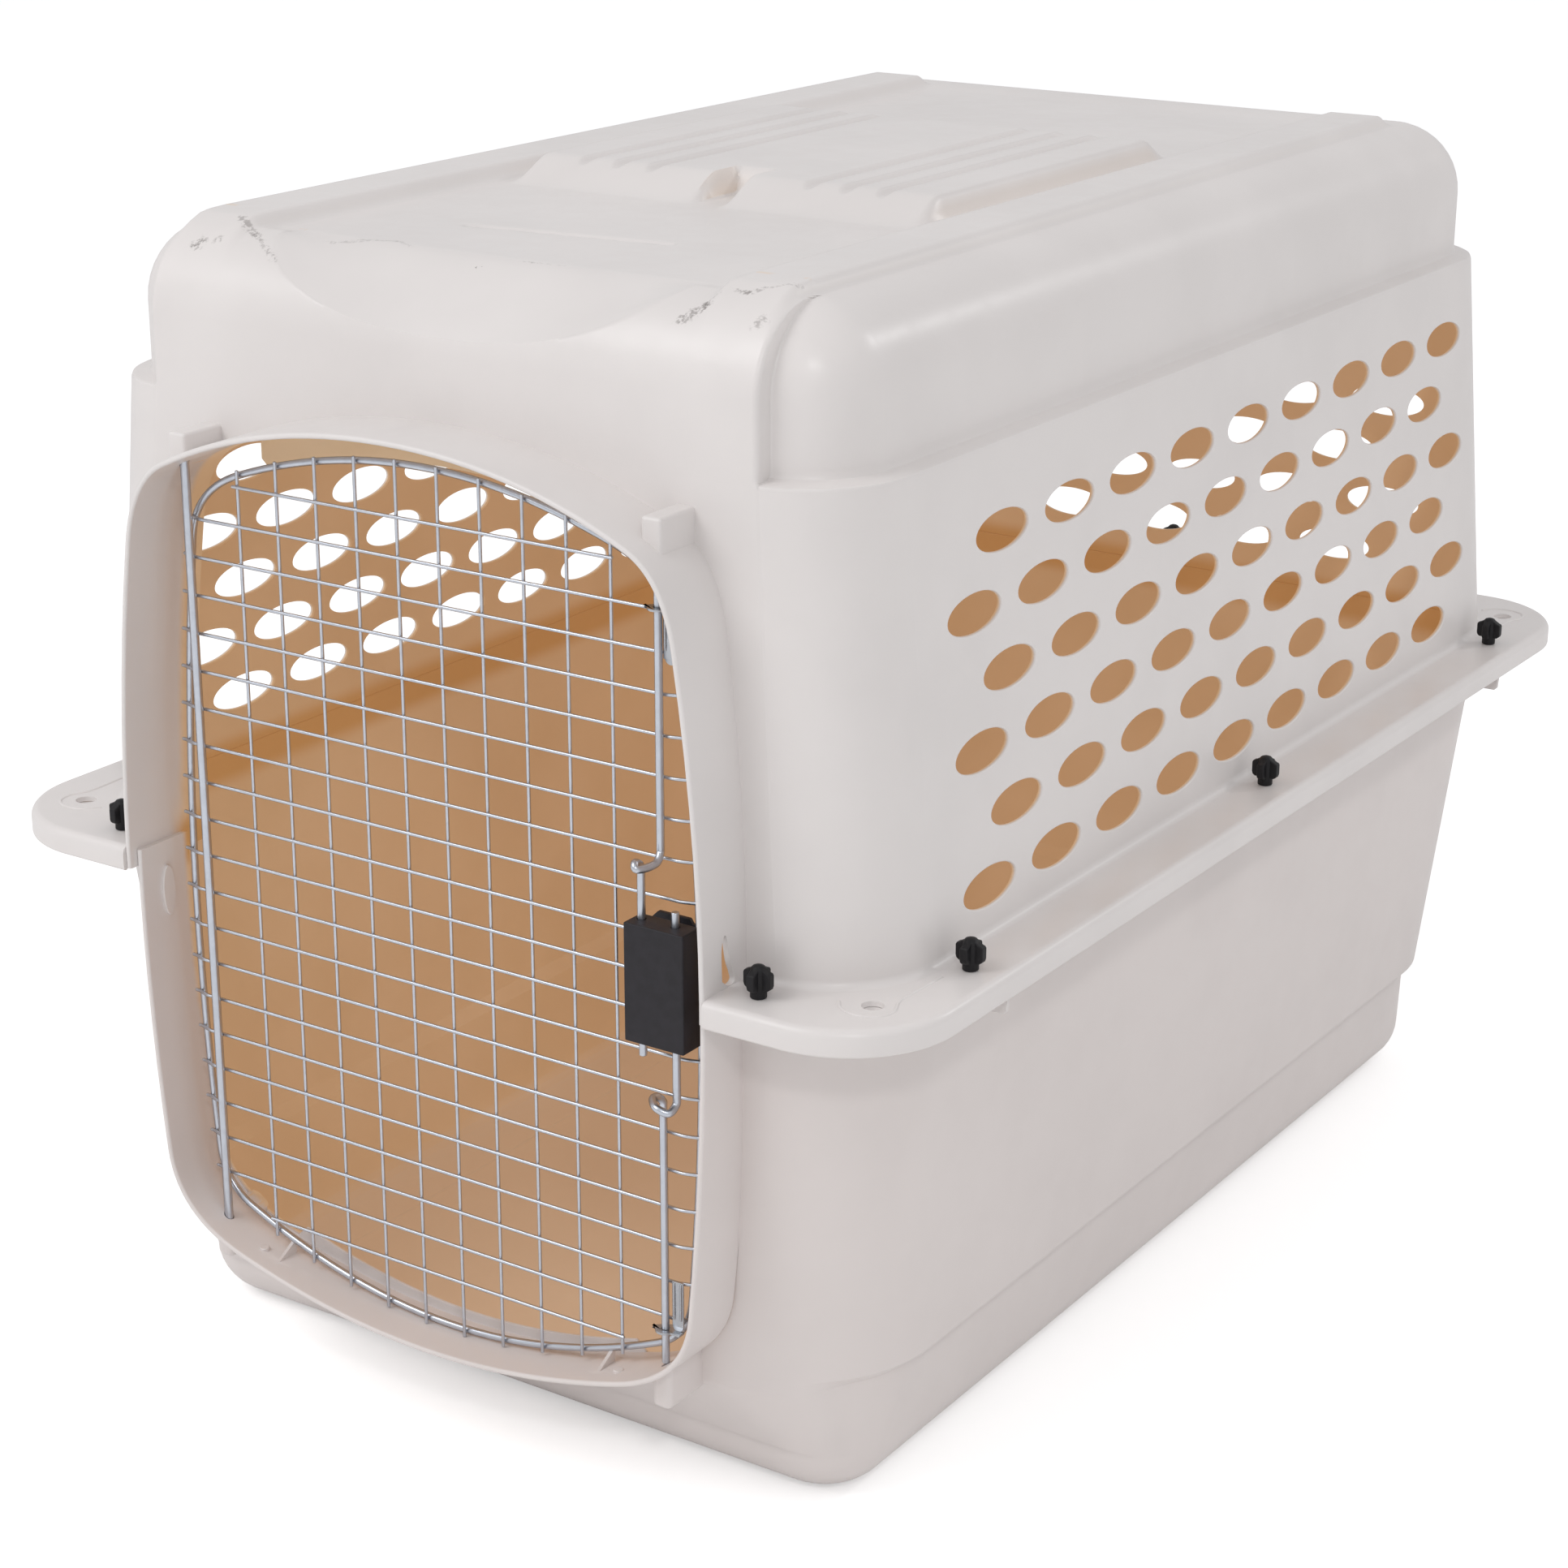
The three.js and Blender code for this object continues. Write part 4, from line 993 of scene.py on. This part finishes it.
def build_guide(node, sign):
    """A stamped guide: an eye round the latch rod, a folded tab along the frame and a crimped end."""
    low, high = box_mm(node)
    eye_z = high[2] - GUIDE_THICK if sign > 0 else low[2]
    left, right = high[0] - (9.8 if sign > 0 else 8.0), high[0]
    front, back, bottom, top = GUIDE_FRONT, GUIDE_BACK, low[2], high[2]
    around = np.radians(np.arange(-140, 141, 10))
    rim = np.stack([ROD_X + GUIDE_EYE_R * np.cos(around), ROD_Y + GUIDE_EYE_R * np.sin(around)], 1)
    outline = np.concatenate([rim, [(ROD_X - 9.0, ROD_Y - 0.6), (ROD_X - 9.0, ROD_Y + 0.6)]])
    rings = [np.insert(outline, 2, z, axis=1) for z in (eye_z, eye_z + GUIDE_THICK)]
    eye = bevel(loft("guide_eye", rings), 0.35, 2, 50)
    arm = block("guide_arm", (ROD_X + 2, ROD_Y - 3, eye_z), (right, back, eye_z + GUIDE_THICK), 0.4, 2)
    tab = block("guide_tab", (left, front, bottom + 4), (right, back, top), 0.4, 2)
    tongue = turned("guide_tongue", [(0.3, front), (3.9, front + 0.2), (4.0, back - 0.1), (0.3, back)],
                    ((left + right) / 2, 0, bottom + 5), "y", 24)
    join(eye, arm, tab, tongue)
    for x in (left + 1.6, right - 1.6):
        ridge = [(x, front + 0.1, bottom + 9), (x, front - 0.25, bottom + 11), (x, front - 0.25, top - 3),
                 (x, front + 0.1, top - 1)]
        join(eye, wire("ridge", ridge, 0.75, 10, across=(1, 0, 0)))
    cut(eye, turned("eye_hole", [(GUIDE_BORE_R, eye_z - 5), (GUIDE_BORE_R, eye_z + 5)], (ROD_X, ROD_Y, 0)))
    eye.name = f"{node}_fine"
    return eye


def build_spring(node, x):
    """A latch spring, its end coils closer together than the rest."""
    low, high = box_mm(node)
    t = np.linspace(0, 1, 180)
    rise = t - 0.055 * np.sin(2 * np.pi * t)
    z = low[2] + SPRING_WIRE_R + (high[2] - low[2] - 2 * SPRING_WIRE_R) * rise
    angle = 2 * np.pi * SPRING_TURNS * t
    path = np.stack([x + SPRING_COIL_R * np.cos(angle), TAIL_Y + SPRING_COIL_R * np.sin(angle), z], 1)
    return wire(f"{node}_fine", path, SPRING_WIRE_R, 8)


def screw_hole(front, back, z):
    return turned("screw_hole", [(SCREW_HOLE_R, front), (SCREW_HOLE_R, back)], (SCREW_X, 0, z), "y", 16)


def build_case():
    """The latch case: a cover open at its back, with a hole for each rod's tail and two screw posts."""
    low, high = CASE_LOW, CASE_HIGH
    case = block("latch_cover", low, high, 1.0, 3)
    hollow_high = (high[0] - CASE_WALL, high[1] + 9, high[2] - CASE_WALL)
    cut(case, block("hollow", low + CASE_WALL, hollow_high))
    tail_hole = [(LATCH_R + 0.4, low[2] - 5), (LATCH_R + 0.4, high[2] + 5)]
    for x in (UPPER_TAIL_X, LOWER_TAIL_X):
        cut(case, turned("tail_hole", tail_hole, (x, TAIL_Y, 0)))
    for z in SCREW_ZS:
        join(case, turned("post", [(3.4, low[1] + 1), (3.4, high[1])], (SCREW_X, 0, z), "y"))
        cut(case, screw_hole(-495, high[1] + 5, z))
    return case


def build_plate():
    """The plate that clamps the wires from behind, with a shallow notch in its top."""
    low, high = box_mm("latch_clamp_plate")
    chamfer = 5.0
    left, right, foot, top = low[0] - 3.5, high[0] + 1.0, low[2] - 1.0, high[2] - 3.5
    notch = [(SCREW_X + 15, top), (SCREW_X + 12.5, top - 3), (SCREW_X + 8, top - 3), (SCREW_X + 6, top)]
    outline = [(left, foot), (right, foot), (right, top)] + notch
    outline += [(left + chamfer, top), (left, top - chamfer)]
    plate = bevel(prism("latch_back_plate", np.array(outline), low[1], high[1]), 0.5, 2)
    return cut(plate, *(screw_hole(low[1] - 5, high[1] + 5, z) for z in SCREW_ZS))


# ---------------------------------------------------------------- nuts

def build_nut(name, place):
    """A four-lobed knob: a round stem, rounded lobes and a domed crown."""
    low, high = box_mm(f"wing_nut_{name}")
    height = high[2] - low[2]
    reach = (high[0] - low[0]) / 2
    x, y = place
    stem = [(4.6, 0), (4.9, 0.4), (4.9, 5), (5.0, height - 5), (4.6, height - 2.2), (3.4, height - 0.8),
            (1.8, height - 0.15), (0.5, height)]
    body = turned("knob", stem, (x, y, low[2]), sides=28)
    right = [(reach - 2.2, 5), (reach - 0.6, 6.2), (reach, 8), (reach, height - 5.2),
             (reach - 0.7, height - 4.1), (reach - 2, height - 3.7), (3.5, height - 1.6)]
    outline = right + [(-a, z) for a, z in reversed(right)]
    for along_y in (False, True):
        rings = []
        for side in (-2.5, 2.5):
            points = [(side, a, z) if along_y else (a, side, z) for a, z in outline]
            rings.append(np.array(points) + (x, y, low[2]))
        join(body, bevel(loft("lobe", rings), 0.7, 3, 60))
    cut(body, turned("bore", [(3.6, low[2] - 5), (3.6, 373)], (x, y, 0)))
    body.name = f"knob_{name}"
    return body


# ---------------------------------------------------------------- materials

class Nodes:
    """Short names for building a material's node tree."""

    def __init__(self, name):
        self.material = bpy.data.materials.new(name)
        self.material.use_nodes = True
        self.tree = self.material.node_tree
        self.shader = self.tree.nodes["Principled BSDF"]

    def feed(self, inputs, values):
        """Give inputs their values, by index or by name: a value or another node's output."""
        for key, value in dict(values).items():
            if hasattr(value, "is_output"):
                self.tree.links.new(value, inputs[key])
            else:
                inputs[key].default_value = value

    def add(self, kind, values=(), **settings):
        node = configure(self.tree.nodes.new(kind), **settings)
        self.feed(node.inputs, values)
        return node.outputs

    def math(self, operation, a, b, clamp=False):
        return self.add("ShaderNodeMath", {0: a, 1: b}, operation=operation, use_clamp=clamp)[0]

    def vector(self, operation, a, b):
        return self.add("ShaderNodeVectorMath", {0: a, 1: b}, operation=operation)

    def ramp(self, value, low, high, start=0.0, end=1.0):
        limits = enumerate((value, low, high, start, end))
        return self.add("ShaderNodeMapRange", limits, interpolation_type="SMOOTHSTEP")[0]

    def mix(self, share, a, b):
        return self.add("ShaderNodeMix", {0: share, 6: a, 7: b}, data_type="RGBA")[2]

    def noise(self, scale, detail=2.0, roughness=0.5):
        values = {"Vector": self.place(), "Scale": scale, "Detail": detail, "Roughness": roughness}
        return self.add("ShaderNodeTexNoise", values)[0]

    def place(self):
        return self.add("ShaderNodeTexCoord")["Object"]

    def height(self, vector):
        return self.add("ShaderNodeSeparateXYZ", {0: vector})[2]

    def bump(self, height, distance, strength):
        return self.add("ShaderNodeBump", {"Strength": strength, "Distance": distance, "Height": height})[0]

    def finish(self, values):
        """Feed the shader's inputs and return the material."""
        self.feed(self.shader.inputs, values)
        return self.material


def linear(r, g, b):
    """A display colour of 0 to 255 as linear light."""
    return (*(((v / 255 + 0.055) / 1.055) ** 2.4 for v in (r, g, b)), 1)


SCUFFS = [
    # Two ends in millimetres, half width, and how dark the marks are.
    ((162, -438, 727), (172, -429, 734), 7, 0.6),
    ((172, -429, 734), (178, -416.5, 740), 5, 0.75),
    ((178, -416.5, 740.5), (194, -420, 743), 4, 0.5),
    ((194, -420, 743), (217, -403, 746.6), 4, 0.45),
    ((210, -435, 730), (213, -433, 731), 7, 0.45),
    ((-200, -435, 731), (-197, -433, 732), 8, 0.7),
    ((-187, -430, 733), (-184, -429, 734), 5, 0.6),
    ((-182, -413, 746), (-164, -419, 738), 6, 0.5),
    ((-164, -419, 738), (-135, -436.5, 728.5), 4, 0.5),
    ((-120, -404, 736.7), (-78.6, -388.5, 738.5), 4, 0.3),
    ((-78, -388.5, 738.5), (-62, -397, 739), 3, 0.3),
    ((-4, -408.5, 734), (-2, -407.5, 734.5), 2.2, 0.9),
    ((22, -399, 739.5), (50, -396, 739.5), 3, 0.35),
    ((286, -462, 351), (290, -460, 351), 4, 0.35),
]


def scuffs(m, colour):
    """Dark rubbed marks along short lines where the shell has been knocked."""
    place = m.place()
    grain = m.noise(330.0, 4.0, 0.7)
    for start, end, width, density in SCUFFS:
        start, end, width = np.array(start) * MM, np.array(end) * MM, width * MM
        along = end - start
        from_start = m.vector("SUBTRACT", place, start)[0]
        share = m.vector("DOT_PRODUCT", from_start, along / along.dot(along))["Value"]
        clamped = m.math("MULTIPLY", share, 1.0, clamp=True)
        nearest = m.add("ShaderNodeVectorMath", {0: along, "Scale": clamped}, operation="SCALE")[0]
        near = m.ramp(m.vector("DISTANCE", from_start, nearest)["Value"], width, width * 0.2)
        threshold = m.math("SUBTRACT", 0.58, m.math("MULTIPLY", near, 0.16))
        mark = m.ramp(grain, threshold, m.math("ADD", threshold, 0.15))
        amount = m.math("MULTIPLY", m.math("MULTIPLY", mark, near), density)
        colour = m.mix(amount, colour, linear(122, 115, 112))
    return colour


def shell_plastic():
    """Off-white satin plastic with a fine grain; its inner faces take on a warm tan and a faint painted glow
    that stands in for light coming through the walls.
    """
    m = Nodes("shell_plastic")
    height = m.height(m.place())
    facing_up = m.height(m.add("ShaderNodeNewGeometry")["True Normal"])
    inside = m.ramp(m.add("ShaderNodeAttribute", attribute_name="inside")["Fac"], 0.1, 0.9)
    blotch = m.noise(9.0, 3.0)
    pale = m.ramp(blotch, 0.35, 0.7)
    upper = m.mix(pale, linear(226, 221, 219), linear(222, 217, 215))
    lower = m.mix(pale, linear(224, 216, 213), linear(220, 212, 209))
    outer = m.mix(m.ramp(height, 0.30, 0.36), lower, upper)
    inner = m.mix(m.ramp(blotch, 0.3, 0.7), linear(205, 176, 142), linear(200, 170, 134))
    # Painted shade: a darker, deeper orange band on the inner faces at the flange's height.
    flange_shade_band = m.math("MULTIPLY", m.ramp(height, 0.330, 0.344), m.ramp(height, 0.372, 0.358))
    inner = m.mix(m.math("MULTIPLY", flange_shade_band, 0.8), inner, linear(187, 141, 84))
    # Painted light: inner faces low down that face upwards are painted lighter and paler, as if lit from
    # above.
    lit_floor_paint = m.math("MULTIPLY", m.ramp(facing_up, 0.5, 0.9), m.ramp(height, 0.07, 0.05))
    inner = m.mix(lit_floor_paint, inner, linear(200, 176, 150))
    return m.finish({
        "Base Color": scuffs(m, m.mix(inside, outer, inner)),
        "Roughness": m.ramp(m.noise(60.0, 3.0), 0.3, 0.7, 0.31, 0.39),
        "Specular IOR Level": 0.45,
        # Painted light: the inner faces glow faintly in their own tan, standing in for light that comes
        # through the walls.
        "Emission Color": inner,
        "Emission Strength": m.math("MULTIPLY", inside, 0.27),
        "Normal": m.bump(m.noise(900.0), 0.00006, 0.5),
    })


def zinc(name, roughness, tint):
    """Bright metal, a little streaky, with painted shade that darkens it where it turns away from view."""
    m = Nodes(name)
    streak = m.noise(140.0, 3.0)
    bright = m.mix(m.ramp(streak, 0.3, 0.75), linear(*tint), linear(*(v * 0.97 for v in tint)))
    # Painted shade: the colour darkens towards faces that turn away from view.
    painted_edge_shade = m.ramp(m.add("ShaderNodeLayerWeight", {"Blend": 0.5})["Facing"], 0.5, 0.95)
    return m.finish({
        "Base Color": m.mix(painted_edge_shade, bright, linear(*(v * 0.45 for v in tint))),
        "Metallic": 1.0,
        "Roughness": m.ramp(streak, 0.3, 0.7, roughness * 0.95, roughness * 1.08),
    })


def black_plastic(name, colour, roughness, grain):
    m = Nodes(name)
    patch = m.noise(120.0, 3.0)
    return m.finish({
        "Base Color": m.mix(m.ramp(patch, 0.3, 0.7), linear(*colour), linear(*(v * 1.25 for v in colour))),
        "Roughness": m.ramp(patch, 0.3, 0.7, roughness, roughness + 0.12),
        "Specular IOR Level": 0.3,
        "Normal": m.bump(m.noise(1500.0), grain, 0.6),
    })


PLASTIC = shell_plastic()
WIRE = zinc("bright_zinc", 0.3, (207, 212, 221))
STEEL = zinc("stamped_steel", 0.28, (188, 191, 196))
LATCH_BLACK = black_plastic("latch_black", (34, 32, 36), 0.42, 0.00005)
NUT_BLACK = black_plastic("nut_black", (22, 21, 23), 0.45, 0.0001)


def dress(obj, material, body, node):
    """Finish one piece: its material, shading, body and the CAD node it stands for."""
    obj.data.materials.clear()
    obj.data.materials.append(material)
    obj.data.polygons.foreach_set("material_index", [0] * len(obj.data.polygons))
    shade(obj)
    if body:
        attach(obj, body)
    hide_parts(node)
    return obj


# ---------------------------------------------------------------- assembly

dress(build_upper_shell(), PLASTIC, "upper_half", "top_shell")
dress(build_lower_shell(), PLASTIC, "lower_half", "bottom_shell")
dress(build_door_frame(), WIRE, "door", "door_frame_wire")
dress(build_door_grid(), WIRE, "door", "door_grid")
dress(hinge_rod(), WIRE, "door", "hinge_rod")
LATCH_HALVES = (("upper", 1, UPPER_BEND, UPPER_TAIL_X), ("lower", -1, LOWER_BEND, LOWER_TAIL_X))
for half, sign, rod_bend, tail_x in LATCH_HALVES:
    rod = build_latch_rod(f"latch_rod_{half}", sign, rod_bend, tail_x)
    dress(rod, WIRE, f"latch_{half}", f"latch_rod_{half}")
    dress(build_guide(f"rod_guide_{half}", sign), STEEL, "door", f"rod_guide_{half}")
dress(build_case(), LATCH_BLACK, "door", "latch_case")
dress(build_plate(), LATCH_BLACK, "door", "latch_clamp_plate")
# Each spring stands on the case, which stays with the door, and reaches up to the rod's collar; the spring
# itself belongs to no body, and its placement is baked into its points.
for half, sign, _, tail_x in LATCH_HALVES:
    spring_node = f"latch_spring_{half}"
    spring = dress(build_spring(spring_node, tail_x), STEEL, None, spring_node)
    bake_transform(spring)
for nut_name, nut_place in BOLT_PLACES.items():
    dress(build_nut(nut_name, nut_place), NUT_BLACK, f"nut_{nut_name}", f"wing_nut_{nut_name}")

# The CAD nodes that no piece stands for, the bolts and screws, are plain steel.
for node in frame["nodes"].values():
    if not node.hide_render:
        node.data.materials.clear()
        node.data.materials.append(STEEL)


# ---------------------------------------------------------------- stage, lights and camera

def floor():
    size = 40.0
    mesh = bpy.data.meshes.new("floor")
    corners = [(-size, -size, 0), (size, -size, 0), (size, size, 0), (-size, size, 0)]
    mesh.from_pydata(corners, [], [(0, 1, 2, 3)])
    m = Nodes("floor_white")
    seen = m.add("ShaderNodeLightPath")["Is Camera Ray"]
    mesh.materials.append(m.finish({
        "Base Color": (0.97, 0.97, 0.97, 1),
        "Roughness": 0.9,
        "Specular IOR Level": 0.1,
        "Emission Color": (1, 1, 1, 1),
        "Emission Strength": m.math("MULTIPLY", seen, 0.36),
    }))
    link("floor", mesh)


def area_light(name, place, target, size, power):
    data = configure(bpy.data.lights.new(name, "AREA"), shape="DISK", size=size, energy=power)
    aim = (Vector(target) - Vector(place)).to_track_quat("-Z", "Y")
    configure(link(name, data), location=place, rotation_mode="QUATERNION", rotation_quaternion=aim)


def world(strength):
    sky = bpy.data.worlds.new("studio")
    sky.use_nodes = True
    background = sky.node_tree.nodes["Background"]
    background.inputs[0].default_value = (0.99, 0.99, 1.0, 1)
    background.inputs[1].default_value = strength
    bpy.context.scene.world = sky


def camera(place, azimuth, elevation, roll, lens):
    """A camera at a place in metres, angles in degrees: azimuth 0 looks at the door square on."""
    azimuth, elevation, roll = (math.radians(angle) for angle in (azimuth, elevation, roll))
    flat = math.cos(elevation)
    back = np.array([math.sin(azimuth) * flat, -math.cos(azimuth) * flat, math.sin(elevation)])
    right = np.array([math.cos(azimuth), math.sin(azimuth), 0])
    up = np.cross(back, right)
    right, up = (math.cos(roll) * right + math.sin(roll) * up, math.cos(roll) * up - math.sin(roll) * right)
    made = link("camera", configure(bpy.data.cameras.new("camera"), lens=lens, sensor_width=36))
    turn = Matrix((right, up, back)).transposed().to_4x4()
    made.matrix_world = Matrix.Translation(place) @ turn
    bpy.context.scene.camera = made


floor()
world(0.66)
area_light("key", (-1.6, -2.9, 3.4), (0, 0, 0.4), 2.4, 52)
area_light("front_softbox", (1.92, -2.46, 2.4), (0, 0, 0.5), 0.26, 12)
area_light("rear_softbox", (1.92, 2.46, 2.4), (0, 0, 0.5), 0.26, 12)
camera((1.19897, -1.89864, 1.09225), 33.554, 19.502, 0.152, 75.98)
bpy.context.scene.view_settings.view_transform = "Standard"
